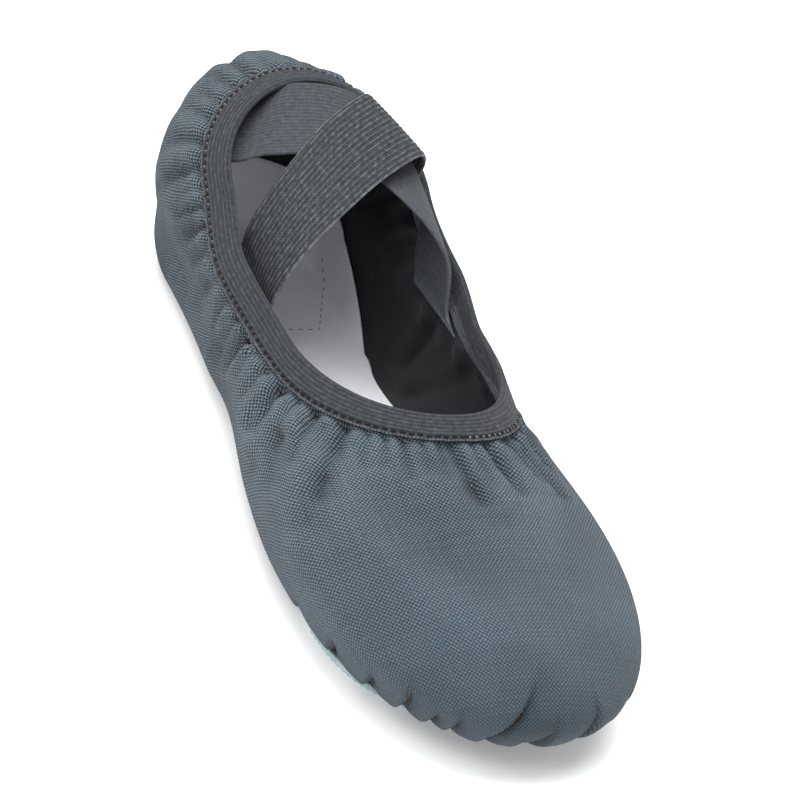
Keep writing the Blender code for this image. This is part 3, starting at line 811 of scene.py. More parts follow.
# strength of the painted shade and highlight in the lining's folds
LINING_SHADE = 0.45


def weave_on(tree, pitch, wander):
    """The weave group on the piece's own map."""
    cloth = node(tree, "ShaderNodeUVMap", uv_map="cloth").outputs[0]
    feeds = {"Cloth": cloth, "Pitch": pitch, "Wander": wander}
    return node(tree, "ShaderNodeGroup", feeds, node_tree=weave)


def blotched(tree, tone):
    """A tone made uneven by slow noise, as in dyed cloth."""
    spot = node(tree, "ShaderNodeTexCoord").outputs["Object"]
    fade = node(tree, "ShaderNodeTexNoise", {"Vector": spot, "Scale": BLOTCH_SCALE, "Detail": 3.0})
    even = maths(tree, "SUBTRACT", tone, BLOTCHES / 2)
    return maths(tree, "MULTIPLY_ADD", fade.outputs[0], BLOTCHES, even)


def fold_shaded(tree, tone, amount):
    """A tone given painted shade in the fold valleys and painted highlight on the crests, by the
    attribute.
    """
    folded = node(tree, "ShaderNodeAttribute", attribute_name="painted_fold_shading").outputs["Fac"]
    return maths(tree, "MULTIPLY_ADD", folded, amount, tone)


def plain_cloth(name, pitch, wander, stops, depth, strength, sheen, fold_shade=0.0):
    """A plain woven cloth, with painted shade and highlight in its folds where an amount is given."""
    parts = new_material(name)
    tree = parts[1]
    threads = weave_on(tree, pitch, wander)
    tone = threads.outputs["Tone"]
    if fold_shade:
        tone = fold_shaded(tree, tone, fold_shade)
    colour = ramp(tree, blotched(tree, tone), stops)
    return finish(parts, colour, threads.outputs["Height"], depth, strength, CLOTH_ROUGHNESS, sheen)


lining_stops = [(0.0, shown(18, 20, 22)), (0.5, shown(32, 34, 37)), (1.0, shown(46, 49, 53))]
lining = plain_cloth(
    "black_lining", pitch=0.00055, wander=0.35, stops=lining_stops,
    depth=0.0002, strength=0.5, sheen=0.05, fold_shade=LINING_SHADE,
)
print("lining material:", lining.name)

# %% [markdown]
# The canvas itself.
# Pulled over the toe the weave is closed and looks even, and behind it the threads stand apart, so the
# contrast grows towards the heel. Valleys of the folds hold less light than the mesh alone can show,
# so the relief is kept as an attribute that paints shade into the valleys and a little highlight on the
# crests. The dye is a little cooler on some threads.

# %% Canvas
CANVAS_PITCH = 0.00092
CANVAS_WANDER = 0.5
CANVAS_BUMP = 0.0004
CANVAS_SHEEN = 0.06
TOE_PLACE = -0.09
WORN_PLACE = 0.03
TOE_CONTRAST = 0.42
WORN_CONTRAST = 1.6
MIDDLE_TONE = 0.52
# strength of the painted shade and highlight in the canvas folds
FOLD_SHADE = 0.26
DYE_SCALE = 700.0
COOL_DYE = (0.94, 1.02, 1.04, 1.0)
WARM_DYE = (1.06, 1.00, 1.01, 1.0)
canvas_stops = [
    (0.0, shown(8, 14, 20)),
    (0.32, shown(42, 52, 60)),
    (0.62, shown(69, 80, 88)),
    (1.0, shown(103, 115, 123)),
]


def canvas_cloth():
    """The outer canvas: the weave, with its contrast along the shoe, painted fold shade and highlight,
    and uneven dye.
    """
    parts = new_material("blue_grey_canvas")
    tree = parts[1]
    threads = weave_on(tree, CANVAS_PITCH, CANVAS_WANDER)
    spot = node(tree, "ShaderNodeTexCoord").outputs["Object"]
    contrast = node(tree, "ShaderNodeMapRange", {
        "Value": node(tree, "ShaderNodeSeparateXYZ", {0: spot}).outputs[1],
        "From Min": TOE_PLACE,
        "From Max": WORN_PLACE,
        "To Min": TOE_CONTRAST,
        "To Max": WORN_CONTRAST,
    }).outputs[0]
    off_middle = maths(tree, "SUBTRACT", threads.outputs["Tone"], MIDDLE_TONE)
    tone = maths(tree, "MULTIPLY_ADD", off_middle, contrast, MIDDLE_TONE)
    # painted shade in the fold valleys and painted highlight on the crests
    tone = fold_shaded(tree, tone, FOLD_SHADE)
    colour = ramp(tree, blotched(tree, tone), canvas_stops)
    cloth = node(tree, "ShaderNodeUVMap", uv_map="cloth").outputs[0]
    lots = node(tree, "ShaderNodeTexNoise", {"Vector": cloth, "Scale": DYE_SCALE, "Detail": 1.0})
    dye = ramp(tree, lots.outputs[0], [(0.35, COOL_DYE), (0.65, WARM_DYE)])
    height = maths(tree, "MULTIPLY", threads.outputs["Height"], contrast)
    dyed = vectors(tree, "MULTIPLY", colour, dye)
    return finish(parts, dyed, height, CANVAS_BUMP, 1.0, CLOTH_ROUGHNESS, CANVAS_SHEEN)


canvas = canvas_cloth()
print("canvas material:", canvas.name)

# %% [markdown]
# Building meshes.
# Every piece is a grid of points with its own map, joined into a closed skin. One helper turns such
# points into a mesh in metres, with its materials and the map that its material reads.


# %% Mesh helpers
def grid_faces(index, close_rows=False, close_columns=False):
    """Quads of a grid of point numbers."""
    rows = np.roll(index, -1, 0) if close_rows else index[1:]
    here = index if close_rows else index[:-1]
    if close_columns:
        quads = np.stack([here, rows, np.roll(rows, -1, 1), np.roll(here, -1, 1)], -1)
    else:
        quads = np.stack([here[:, :-1], rows[:, :-1], rows[:, 1:], here[:, 1:]], -1)
    return quads.reshape(-1, 4)


def new_piece(name, points, faces, materials, corner_map=None, face_material=None, painted_fold_shading_values=None):
    """A smooth piece from points in millimetres; corner_map holds one map point for each face corner."""
    mesh = bpy.data.meshes.new(name)
    mesh.from_pydata((points * MM).tolist(), [], [list(map(int, f)) for f in faces])
    for made in materials:
        mesh.materials.append(made)
    if face_material is not None:
        mesh.polygons.foreach_set("material_index", np.asarray(face_material, dtype=np.int32))
    if corner_map is not None:
        layer = mesh.uv_layers.new(name="cloth")
        layer.data.foreach_set("uv", (np.asarray(corner_map) * MM).astype(np.float32).ravel())
    # painted shade and highlight of the folds, kept as an attribute for the cloth materials
    if painted_fold_shading_values is not None:
        mesh.attributes.new("painted_fold_shading", "FLOAT", "POINT").data.foreach_set("value", painted_fold_shading_values.astype(np.float32))
    mesh.shade_smooth()
    mesh.update()
    piece = bpy.data.objects.new(name, mesh)
    bpy.context.scene.collection.objects.link(piece)
    return piece


def settle(piece, slot, *nodes):
    """Fix a finished piece to the shoe, and hide the solids that it stands for."""
    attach(piece, "root")
    if nodes:
        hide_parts(*nodes)
    mesh = piece.data
    print(piece.name, "triangles:", sum(len(p.vertices) - 2 for p in mesh.polygons))


# %% [markdown]
# The canvas upper.
# The shell has an outer skin with all the folds and an inner skin for the lining, joined round the
# collar and round the two openings that the suede covers. Fine pleats stay in the outer
# skin, because the lining bridges them, while the larger creases go through both.

# %% Folds in the lining
# points along each fold on the right wall, in the shoe's own frame
LINING_FOLDS = (
    ((22.7, 21.2, 27.8), (25.4, 27.8, 16.7), (23.8, 28.4, 9.2)),
    ((23.5, 4.5, 25.2), (26.8, 14.0, 17.0), (22.2, 21.4, 6.0)),
)
LINING_DEPTH = 1.1
LINING_WIDTH = 1.5


def lining_relief():
    """Valleys pressed outwards into the lining, each with a soft roll on both sides."""
    inside = bare - facing * CANVAS
    relief = np.zeros_like(height)
    for line in LINING_FOLDS:
        off = np.min([from_segment(inside, a, b)[1] for a, b in zip(line, line[1:])], axis=0)
        relief -= trough(off, LINING_DEPTH, LINING_WIDTH)
    return relief


lining_folds = lining_relief()
print("lining folds:", len(LINING_FOLDS), "deepest", round(lining_folds.max(), 2), "mm")

# %% Canvas upper
INNER_STRIDE = 3
EDGE_CANVAS = 0.5
LINING_FROM = 2.0


def canvas_depth(distance):
    """Thickness of the cloth: one layer at the collar edge, and lined further down."""
    return EDGE_CANVAS + (CANVAS - EDGE_CANVAS) * smooth((distance - LINING_FROM) / TAPE_WIDTH)


def rim(first, second):
    """Quads between two closed rows of point numbers."""
    return np.stack([first, np.roll(first, -1), np.roll(second, -1), second], -1)


def upper_map(inner_levels, rim_faces):
    """Map points for each face corner: each face uses the map of its own side of the shoe."""
    from_heel = left_map[::-1]
    near_ribs = np.concatenate([right_map[:-1], from_heel[:-1]])
    next_ribs = np.concatenate([right_map[1:], from_heel[1:]])
    corners = []
    for levels, flip in ((np.arange(bare.shape[1]), False), (inner_levels, True)):
        here, there = near_ribs[:, levels], next_ribs[:, levels]
        quads = np.stack([here[:, :-1], there[:, :-1], there[:, 1:], here[:, 1:]], 2)
        corners.append((quads[:, :, ::-1] if flip else quads).reshape(-1, 2))
    corners.append(np.zeros((rim_faces * 4, 2)))
    return np.concatenate(corners)


def make_upper():
    """The shell: outer skin, lining, and the rims that join them."""
    ribs, levels = bare.shape[:2]
    inner_levels = np.unique(np.r_[np.arange(0, levels, INNER_STRIDE), levels - 1])
    inside = fold_relief + lining_folds - canvas_depth(away)
    inner = (bare + facing * inside[..., None])[:, inner_levels]
    outer_index = np.arange(ribs * levels).reshape(ribs, levels)
    inner_index = ribs * levels + np.arange(ribs * len(inner_levels)).reshape(ribs, -1)
    for i in range(ribs // 2 + 1, ribs):
        if on_seam[i]:
            outer_index[i, 0] = outer_index[ribs - i, 0]
            inner_index[i, 0] = inner_index[ribs - i, 0]
    skin = grid_faces(outer_index, close_rows=True)
    lining_skin = grid_faces(inner_index, close_rows=True)[:, ::-1]
    collar_rim = rim(outer_index[:, -1], inner_index[:, -1])
    hole_rim = rim(inner_index[:, 0], outer_index[:, 0])
    hole_rim = hole_rim[~(on_seam & np.roll(on_seam, -1))]
    faces = np.concatenate([skin, lining_skin, collar_rim, hole_rim])
    points = np.concatenate([outer.reshape(-1, 3), inner.reshape(-1, 3)])
    which = np.zeros(len(faces), dtype=np.int32)
    which[len(skin) : len(skin) + len(lining_skin)] = 1
    corner_map = upper_map(inner_levels, len(collar_rim) + len(hole_rim))
    used = np.unique(faces)
    renumber = np.zeros(len(points), dtype=np.int64)
    renumber[used] = np.arange(len(used))
    # painted shade in the lining's fold valleys and painted highlight on its rolls
    lining_painted_shading = np.clip(-lining_folds / LINING_DEPTH, -1.0, PAINTED_CREST_HIGHLIGHT)[:, inner_levels]
    painted_fold_shading_values = np.concatenate([painted_fold_shading.ravel(), lining_painted_shading.ravel()])[used]
    finishes = [canvas, lining]
    return new_piece("canvas_upper", points[used], renumber[faces], finishes, corner_map, which, painted_fold_shading_values)


upper = make_upper()
settle(upper, "canvas", "upper")

# %% [markdown]
# Ribbed elastic.
# The collar tape and the straps are woven elastic: fine light cords run along the tape, and the
# threads between them make small dashes across it. The cords are real ridges in the mesh, and this group
# adds their light crests and the dashes.

# %% Elastic group
KNUCKLE_SHARPNESS = 3.0
KNUCKLE_GAP = -0.35
DASH_HEIGHT = 0.6
DASH_TONE = 0.36
CORD_TONE = 0.56
HEM_TONE = 0.35
FUZZ_SCALE = 900.0
FUZZ_TONE = 0.9
BASE_TONE = 0.38
elastic, given, result = new_group(
    "ribbed_elastic",
    {"Tape": VECTOR, "Rib pitch": FLOAT, "Dash pitch": FLOAT, "Rib to": FLOAT, "Hem from": FLOAT},
    {"Height": FLOAT, "Tone": FLOAT},
)
split = node(elastic, "ShaderNodeSeparateXYZ", {0: given.outputs["Tape"]})
ribs_across = maths(elastic, "DIVIDE", split.outputs[1], given.outputs["Rib pitch"])
crest = maths(elastic, "COSINE", maths(elastic, "MULTIPLY", ribs_across, 2 * math.pi))
crest = maths(elastic, "MULTIPLY_ADD", crest, 0.5, 0.5)
has_ribs = maths(elastic, "LESS_THAN", split.outputs[1], given.outputs["Rib to"])
crest = maths(elastic, "MULTIPLY", crest, has_ribs)
row = maths(elastic, "MULTIPLY", maths(elastic, "FLOOR", ribs_across), 0.5)
dash = maths(elastic, "DIVIDE", split.outputs[0], given.outputs["Dash pitch"])
dash = maths(elastic, "ADD", dash, row)
dash = maths(elastic, "COSINE", maths(elastic, "MULTIPLY", dash, 2 * math.pi))
dash = maths(elastic, "MULTIPLY_ADD", dash, 0.5, 0.5)
between = maths(elastic, "MULTIPLY", dash, maths(elastic, "SUBTRACT", 1.0, crest))
sharp_crest = maths(elastic, "POWER", crest, KNUCKLE_SHARPNESS)
knuckle = maths(elastic, "MULTIPLY_ADD", dash, KNUCKLE_GAP, 1.0)
knuckled = maths(elastic, "MULTIPLY", sharp_crest, knuckle)
from_middle = maths(elastic, "ABSOLUTE", split.outputs[1])
hem = maths(elastic, "GREATER_THAN", from_middle, given.outputs["Hem from"])
far = vectors(elastic, "SCALE", given.outputs["Tape"], Scale=FUZZ_SCALE)
fuzz = node(elastic, "ShaderNodeTexNoise", {"Vector": far, "Scale": 1.0, "Detail": 2.0})
elastic.links.new(maths(elastic, "MULTIPLY_ADD", between, DASH_HEIGHT, crest), result.inputs["Height"])
tone = maths(elastic, "MULTIPLY", knuckled, CORD_TONE)
tone = maths(elastic, "MULTIPLY_ADD", between, DASH_TONE, tone)
tone = maths(elastic, "MULTIPLY_ADD", hem, HEM_TONE, tone)
tone = maths(elastic, "SUBTRACT", tone, BASE_TONE)
tone = maths(elastic, "MULTIPLY_ADD", fuzz.outputs[0], FUZZ_TONE, tone)
elastic.links.new(tone, result.inputs["Tone"])
print("elastic group nodes:", len(elastic.nodes))

# %% Elastic finishes
ELASTIC_ROUGHNESS = 0.85
ELASTIC_SHEEN = 0.06
TAPE_RIB = 0.9
TAPE_RIBS_TO = 4.95
TAPE_DASH = 0.62
STRAP_RIB = 1.2
STRAP_DASH = 0.7
BACK_RIB = 0.9
BACK_DASH = 0.6
STRAP_WIDTH = 19.0
HEM = 0.35


def ribbed(name, values, stops, depth, strength):
    """A ribbed elastic on the tape's own map; values are the rib, dash and hem sizes in millimetres."""
    parts = new_material(name)
    tree = parts[1]
    tape = node(tree, "ShaderNodeUVMap", uv_map="cloth")
    cords = node(tree, "ShaderNodeGroup", node_tree=elastic)
    tree.links.new(tape.outputs[0], cords.inputs["Tape"])
    for key, value in zip(("Rib pitch", "Dash pitch", "Rib to", "Hem from"), values):
        cords.inputs[key].default_value = value * MM
    colour = ramp(tree, cords.outputs["Tone"], stops)
    height = cords.outputs["Height"]
    return finish(parts, colour, height, depth, strength, ELASTIC_ROUGHNESS, ELASTIC_SHEEN)


tape_values = (TAPE_RIB, TAPE_DASH, TAPE_RIBS_TO, TAPE_WIDTH - HEM)
tape_stops = [(0.0, shown(26, 28, 32)), (0.45, shown(47, 50, 55)), (1.0, shown(90, 94, 100))]
tape_finish = ribbed("collar_elastic", tape_values, tape_stops, depth=0.00015, strength=0.6)
strap_values = (STRAP_RIB, STRAP_DASH, STRAP_WIDTH, STRAP_WIDTH / 2 - HEM)
strap_stops = [(0.0, shown(24, 26, 30)), (0.40, shown(47, 50, 54)), (1.0, shown(114, 118, 124))]
strap_finish = ribbed("strap_elastic", strap_values, strap_stops, depth=0.00015, strength=0.6)
back_values = (BACK_RIB, BACK_DASH, STRAP_WIDTH, STRAP_WIDTH / 2 - HEM)
back_stops = [(0.0, shown(42, 45, 49)), (0.5, shown(62, 66, 71)), (1.0, shown(80, 84, 90))]
back_finish = ribbed("strap_elastic_back", back_values, back_stops, depth=0.0001, strength=0.4)
print("elastic finishes:", tape_finish.name, strap_finish.name, back_finish.name)

# %% [markdown]
# The collar tape.
# The binding is one elastic tape folded over the canvas edge and sewn through both sides.
# Its cords must run at even distances from the edge, so the tape is laid by walking over the canvas
# square to the collar in small steps, each step pulled back onto the cloth.

# %% Tape laid over the collar
TAPE = 0.45
TAPE_GAP = 0.05
INSIDE_GAP = 0.2
TAPE_STATIONS = 440
TAPE_STEP = 0.2
TAPE_RIB_HEIGHT = 0.1
FOLD_POINTS = 7
STITCH_LINE = TAPE_WIDTH - 1.0
STITCH_PULL = 0.16
STITCH_PULL_HALF = 0.4
FLUTTER = 0.14
FLUTTER_LENGTH = 3.1
FLUTTER_DRIFT = 9.0
FLUTTER_FROM = 3.5
FLUTTER_RISE = 2.7


def walk_from_collar():
    """Rows of points from the collar edge down the outside of the canvas, square to the edge."""
    ribs, levels = bare.shape[:2]
    index = np.arange(ribs * levels).reshape(ribs, levels)
    faces = grid_faces(index, close_rows=True)
    surface = BVHTree.FromPolygons(bare.reshape(-1, 3).tolist(), faces.tolist())
    loop = np.concatenate([collar_edge, collar_edge[:1]])
    stations = np.linspace(0.0, reached(loop)[-1], TAPE_STATIONS, endpoint=False)
    point = along_line(loop, stations)
    tangent = unit(np.roll(point, -1, 0) - np.roll(point, 1, 0))
    rows = [point]
    for _ in range(round(TAPE_WIDTH / TAPE_STEP)):
        found = [surface.find_nearest(Vector(p)) for p in point]
        normal = np.array([hit[1] for hit in found])
        down = unit(np.cross(tangent, normal))
        found = [surface.find_nearest(Vector(p)) for p in point + down * TAPE_STEP]
        point = np.array([hit[0] for hit in found])
        rows.append(point)
    return np.stack(rows, 1), stations


laid, stations = walk_from_collar()
print("tape rows:", laid.shape, "lowest", round(laid[..., 2].min(), 1))


# %% Collar tape
def cord_profile(across, pitch):
    """Height of the cords across a tape, from 0 between them to 1 on their crests."""
    return 0.5 + 0.5 * np.cos(2 * math.pi * across / pitch)


def make_tape():
    """Section loops of the folded tape, the distance over it from the collar edge, and its seam."""
    across = np.arange(laid.shape[1]) * TAPE_STEP
    out = grid_normals(laid[:, ::-1])[:, ::-1]
    cord = TAPE_RIB_HEIGHT * cord_profile(across, TAPE_RIB) * (across < TAPE_RIBS_TO)
    pulled = STITCH_PULL * np.exp(-(((across - STITCH_LINE) / STITCH_PULL_HALF) ** 2))
    drift = np.sin(stations / FLUTTER_DRIFT)
    ripple = np.sin(2 * math.pi * stations / FLUTTER_LENGTH + drift)[:, None]
    loose = FLUTTER * ripple * smooth((across - FLUTTER_FROM) / FLUTTER_RISE)
    lift = TAPE_GAP + TAPE + cord - pulled + loose
    outer_face = laid[:, ::-1] + out[:, ::-1] * lift[:, ::-1, None]
    edge, face = laid[:, 0], out[:, 0]
    upward = unit(np.cross(face, np.roll(edge, -1, 0) - np.roll(edge, 1, 0)))
    radius = EDGE_CANVAS / 2 + TAPE_GAP + TAPE
    core = edge - face * EDGE_CANVAS / 2
    bend = np.linspace(0.0, math.pi, FOLD_POINTS + 2)[1:-1]
    fold = np.stack([core + radius * (face * math.cos(b) + upward * math.sin(b)) for b in bend], 1)
    sparse = across[::2]
    depth = canvas_depth(sparse)[None, :, None]
    inside = laid[:, ::2] - out[:, ::2] * (depth + INSIDE_GAP + TAPE)
    inside_near = (laid[:, ::2] - out[:, ::2] * (depth + INSIDE_GAP))[:, ::-1]
    outside_near = laid[:, ::2] + out[:, ::2] * TAPE_GAP
    loops = np.concatenate([outer_face, fold, inside, inside_near, outside_near], 1)
    past_fold = -math.pi * radius - sparse
    over = np.concatenate([across[::-1], -bend * radius, past_fold, past_fold[::-1], sparse])
    seam = outer_face[:, ::-1][:, round(STITCH_LINE / TAPE_STEP)]
    return loops, over, seam


def tube_map(along, over, close_rows, whole):
    """Map points for the face corners of a tube: along its length and over its section."""
    here = along
    there = np.roll(along, -1).copy() if close_rows else along[1:]
    if close_rows:
        there[-1] = whole
    else:
        here = along[:-1]
    rows, columns = len(here), len(over)
    turned = np.roll(over, -1)
    corners = np.zeros((rows, columns, 4, 2))
    corners[:, :, 0, 0] = corners[:, :, 3, 0] = here[:, None]
    corners[:, :, 1, 0] = corners[:, :, 2, 0] = there[:, None]
    corners[:, :, 0, 1] = corners[:, :, 1, 1] = over[None]
    corners[:, :, 2, 1] = corners[:, :, 3, 1] = turned[None]
    return corners.reshape(-1, 2)


loops, over, tape_seam = make_tape()
index = np.arange(loops.shape[0] * loops.shape[1]).reshape(loops.shape[:2])
faces = grid_faces(index, close_rows=True, close_columns=True)
corner_map = tube_map(stations, over, True, stations[-1] + stations[1])
collar_tape = new_piece("collar_tape", loops.reshape(-1, 3), faces, [tape_finish], corner_map)
settle(collar_tape, "binding", "collar_binding")

# %% [markdown]
# The straps.
# Two flat elastics cross over the instep and are sewn inside the collar. Each is swept through a
# few cross sections, close to the ones in the solid model, with a row of cords across its width and
# soft round edges.

# %% Strap sections
STRAP = 0.9
# middle of each section in the shoe's own frame, then heading and dip of its width in degrees
STRAP_OVER = (
    (-19.4, 31.0, 28.0, 90.0, 12.0),
    (-18.8, 31.7, 33.0, 90.5, 12.0),
    (-17.0, 33.0, 37.8, 91.5, 11.0),
    (-11.8, 36.2, 45.0, 95.0, 10.0),
    (0.2, 43.8, 52.8, 106.0, 8.0),
    (11.6, 50.0, 55.8, 113.0, 9.0),
    (16.3, 53.6, 51.0, 118.0, 14.0),
    (16.0, 56.6, 44.0, 122.0, 16.0),
)
STRAP_UNDER = (
    (20.4, 33.0, 41.5, 86.0, 8.0),
    (14.4, 41.2, 48.4, 74.0, 7.0),
    (4.5, 53.5, 52.0, 62.0, 15.0),
    (-7.5, 59.5, 49.2, 54.0, 30.0),
    (-14.0, 62.6, 44.6, 53.0, 28.0),
)
SEAT_STEP = 0.01
SEAT_LENGTH = 6.0
SEAT_PROBE = 1.0
# share and side of the rib under each strap end, distance from the cloth, depth below the collar
SEATS = {
    "over_mid": (0.615, -1.0, 2.6, 21.0),
    "over_heel": (0.850, 1.0, 3.35, 21.0),
    "under_mid": (0.583, 1.0, 2.05, 14.0),
    "under_heel": (0.850, -1.0, 2.95, 21.0),
}


def seat_rows(name):
    """Two strap sections lying on the inside of the canvas, the deeper one first."""
    seat_share, seat_side, off, deep = SEATS[name]
    curves = rib_curves(seat_share + np.array([-SEAT_STEP, 0.0, SEAT_STEP]), np.full(3, seat_side))
    rows = []
    for depth in (deep, deep - SEAT_LENGTH):
        front, here, rear = (along_line(c, reached(c)[-1] - depth) for c in curves)
        at = reached(curves[1])[-1] - depth
        low, high = (along_line(curves[1], at + d) for d in (-SEAT_PROBE, SEAT_PROBE))
        width = unit(rear - front)
        outward = unit(np.cross(width * seat_side, high - low))
        middle = here - outward * (CANVAS + off + STRAP / 2)
        heading = math.degrees(math.atan2(width[1], width[0]))
        rows.append((*middle, heading, math.degrees(math.asin(width[2]))))
    return rows


def smooth_through(rows, steps):
    """A curve through the rows, with steps points from each to the next."""
    rows = np.array(rows, float)
    padded = np.concatenate([2 * rows[:1] - rows[1:2], rows, 2 * rows[-1:] - rows[-2:-1]])
    t = (np.arange(steps) / steps)[:, None]
    pieces = []
    for k in range(1, len(padded) - 2):
        a, b, c, d = padded[k - 1 : k + 3]
        bend = (2 * a - 5 * b + 4 * c - d) * t**2 + (3 * b - a - 3 * c + d) * t**3
        pieces.append(b + ((c - a) * t + bend) / 2)
    return np.concatenate(pieces + [rows[-1:]])


over_rows = seat_rows("over_mid") + list(STRAP_OVER) + seat_rows("over_heel")[::-1]
under_rows = seat_rows("under_mid") + list(STRAP_UNDER) + seat_rows("under_heel")[::-1]
print("strap sections:", len(over_rows), "and", len(under_rows))

# %% Straps
STRAP_STEPS = 22
STRAP_ACROSS = 76
STRAP_RIB_HEIGHT = 0.13
BACK_RIB_HEIGHT = 0.05
STRAP_ROUND = 0.45
STRAP_EDGE = 0.12
SAG = 0.35
SAG_LENGTH = 13.0
SAG_START = 0.7


def strap_profile(rib, rib_height):
    """Places across a strap and its half thickness there, with cords and round edges."""
    across = np.linspace(-0.5, 0.5, STRAP_ACROSS) * STRAP_WIDTH
    to_edge = STRAP_WIDTH / 2 - np.abs(across)
    edge = np.sqrt(1.0 - np.clip(1.0 - to_edge / STRAP_ROUND, 0.0, 1.0) ** 2)
    cord = rib_height * cord_profile(across, rib) * (to_edge > STRAP_ROUND)
    return across, (STRAP / 2 - rib_height / 2 + cord) * np.maximum(edge, STRAP_EDGE)


def make_strap(name, rows, rib, rib_height, finish_used):
    """A tape swept through its sections, with round edges and capped ends."""
    path = smooth_through(rows, STRAP_STEPS)
    middle = path[:, :3]
    heading, dip = np.radians(path[:, 3]), np.radians(path[:, 4])
    width = np.stack([np.cos(dip) * np.cos(heading), np.cos(dip) * np.sin(heading), np.sin(dip)], -1)
    top = unit(np.cross(np.gradient(middle, axis=0), width))
    along = reached(middle)
    print(name, "length, mm:", round(along[-1], 1))
    across, half = strap_profile(rib, rib_height)
    sag = SAG * np.sin(along / SAG_LENGTH + SAG_START)[:, None] * (2 * across / STRAP_WIDTH) ** 2
    flat = middle[:, None] + width[:, None] * across[None, :, None] + top[:, None] * sag[..., None]
    thick = top[:, None] * half[None, :, None]
    loops = np.concatenate([flat - thick, (flat + thick)[:, ::-1]], 1)
    count, round_points = loops.shape[:2]
    index = np.arange(count * round_points).reshape(count, round_points)
    faces = grid_faces(index, close_columns=True)[:, ::-1]
    strip = np.stack([np.arange(STRAP_ACROSS), round_points - 1 - np.arange(STRAP_ACROSS)], 0)
    caps = [grid_faces(strip + index[0, 0]), grid_faces(strip + index[-1, 0])[:, ::-1]]
    over = np.concatenate([across, across[::-1]])
    corners = tube_map(along, over, False, 0.0).reshape(-1, 4, 2)[:, ::-1].reshape(-1, 2)
    corners = np.concatenate([corners, np.zeros((sum(map(len, caps)) * 4, 2))])
    return new_piece(name, loops.reshape(-1, 3), np.concatenate([faces, *caps]), [finish_used], corners)


elastic_over = make_strap("elastic_over", over_rows, STRAP_RIB, STRAP_RIB_HEIGHT, strap_finish)
elastic_under = make_strap("elastic_under", under_rows, BACK_RIB, BACK_RIB_HEIGHT, back_finish)
settle(elastic_over, "strap", "strap_over")
settle(elastic_under, "strap", "strap_under")

# %% [markdown]
# The soles.
# The two suede soles are sheets cut to an outline. Each is a fan of rings from its middle to its edge,
# so that the edge can be rounded and the stitch rows can be pressed in.

# %% Sole outlines
SOLE_COLUMNS = ("middle", "away", "half", "round_end", "taper", "corner_angle", "notch")
SOLES = {
    "forefoot_sole": (-45.0, -1.0, 28.5, 29.0, 42.0, 140.0, 4.0),
    "heel_sole": (61.0, 1.0, 15.5, 18.0, 21.0, 133.0, 2.5),
}
ARC_POINTS = 150
NOTCH_POINTS = 40
CORNER_POINTS = 14
CORNER_CUT = 5
OUTLINE_POINTS = 360


def round_corner(before, corner, after):
    """Points that cut a corner with a soft curve."""
    t = np.linspace(0.0, 1.0, CORNER_POINTS)[:, None]
    return (1 - t) ** 2 * before + 2 * t * (1 - t) * corner + t**2 * after


def sole_outline(name, inset=0.0):
    """Outline of a suede sole, anticlockwise seen from above, or a line the inset inside it."""
    s = dict(zip(SOLE_COLUMNS, SOLES[name]))
    turns = np.radians(np.linspace(-s["corner_angle"], s["corner_angle"], ARC_POINTS))
    reach = np.where(np.cos(turns) > 0, s["round_end"], s["taper"]) - inset
    arc = np.stack([(s["half"] - inset) * np.sin(turns), reach * np.cos(turns)], -1)
    corner = arc[-1]
    cross = np.linspace(1.0, -1.0, NOTCH_POINTS)
    notch_y = corner[1] + s["notch"] * (1.0 + np.cos(math.pi * cross)) / 2
    notch = np.stack([corner[0] * cross, notch_y], -1)
    outline = np.concatenate([
        arc[CORNER_CUT:-CORNER_CUT],
        round_corner(arc[-CORNER_CUT], corner, notch[CORNER_CUT]),
        notch[CORNER_CUT + 1 : -CORNER_CUT - 1],
        round_corner(notch[-CORNER_CUT - 1], arc[0], arc[CORNER_CUT]),
    ])
    outline[:, 1] = s["middle"] + outline[:, 1] * s["away"]
    outline = outline if s["away"] < 0 else outline[::-1]
    loop = np.concatenate([outline, outline[:1]])
    return along_line(loop, np.linspace(0.0, reached(loop)[-1], OUTLINE_POINTS, endpoint=False))


print("forefoot sole outline, mm:", np.round(np.ptp(sole_outline("forefoot_sole"), axis=0), 1))

# %% [markdown]
# Suede.
# The nap of split leather scatters light, so it looks chalky, with fine specks and brushed patches.
# Two scales of noise make its colour and a low bump, with more sheen than the canvas.
# The insole's cloth is the plain weave again, only finer and paler.

# %% Suede and insole materials
PATCH_FINENESS = 0.06
PATCH_TONE = 0.45
GRAIN_TONE = 0.55
SUEDE_ROUGHNESS = 0.95
nap_outputs = {"Height": FLOAT, "Tone": FLOAT}
nap, given, result = new_group("leather_nap", {"Place": VECTOR, "Grain": FLOAT}, nap_outputs)
on_skin, grain_size = given.outputs["Place"], given.outputs["Grain"]
grain = node(nap, "ShaderNodeTexNoise", {"Vector": on_skin, "Scale": grain_size, "Detail": 3.0})
patch_scale = maths(nap, "MULTIPLY", grain_size, PATCH_FINENESS)
patches = node(nap, "ShaderNodeTexNoise", {"Vector": on_skin, "Scale": patch_scale, "Detail": 2.0})
nap.links.new(grain.outputs[0], result.inputs["Height"])
mixed = maths(nap, "MULTIPLY", grain.outputs[0], GRAIN_TONE)
mixed = maths(nap, "MULTIPLY_ADD", patches.outputs[0], PATCH_TONE, mixed)
nap.links.new(mixed, result.inputs["Tone"])


def napped(name, grain_scale, stops, depth, strength, sheen):
    """A brushed leather from the nap group."""
    parts = new_material(name)
    tree = parts[1]
    spot = node(tree, "ShaderNodeTexCoord")
    fibres = node(tree, "ShaderNodeGroup", node_tree=nap)
    tree.links.new(spot.outputs["Object"], fibres.inputs["Place"])
    fibres.inputs["Grain"].default_value = grain_scale
    colour = ramp(tree, fibres.outputs["Tone"], stops)
    return finish(parts, colour, fibres.outputs["Height"], depth, strength, SUEDE_ROUGHNESS, sheen)


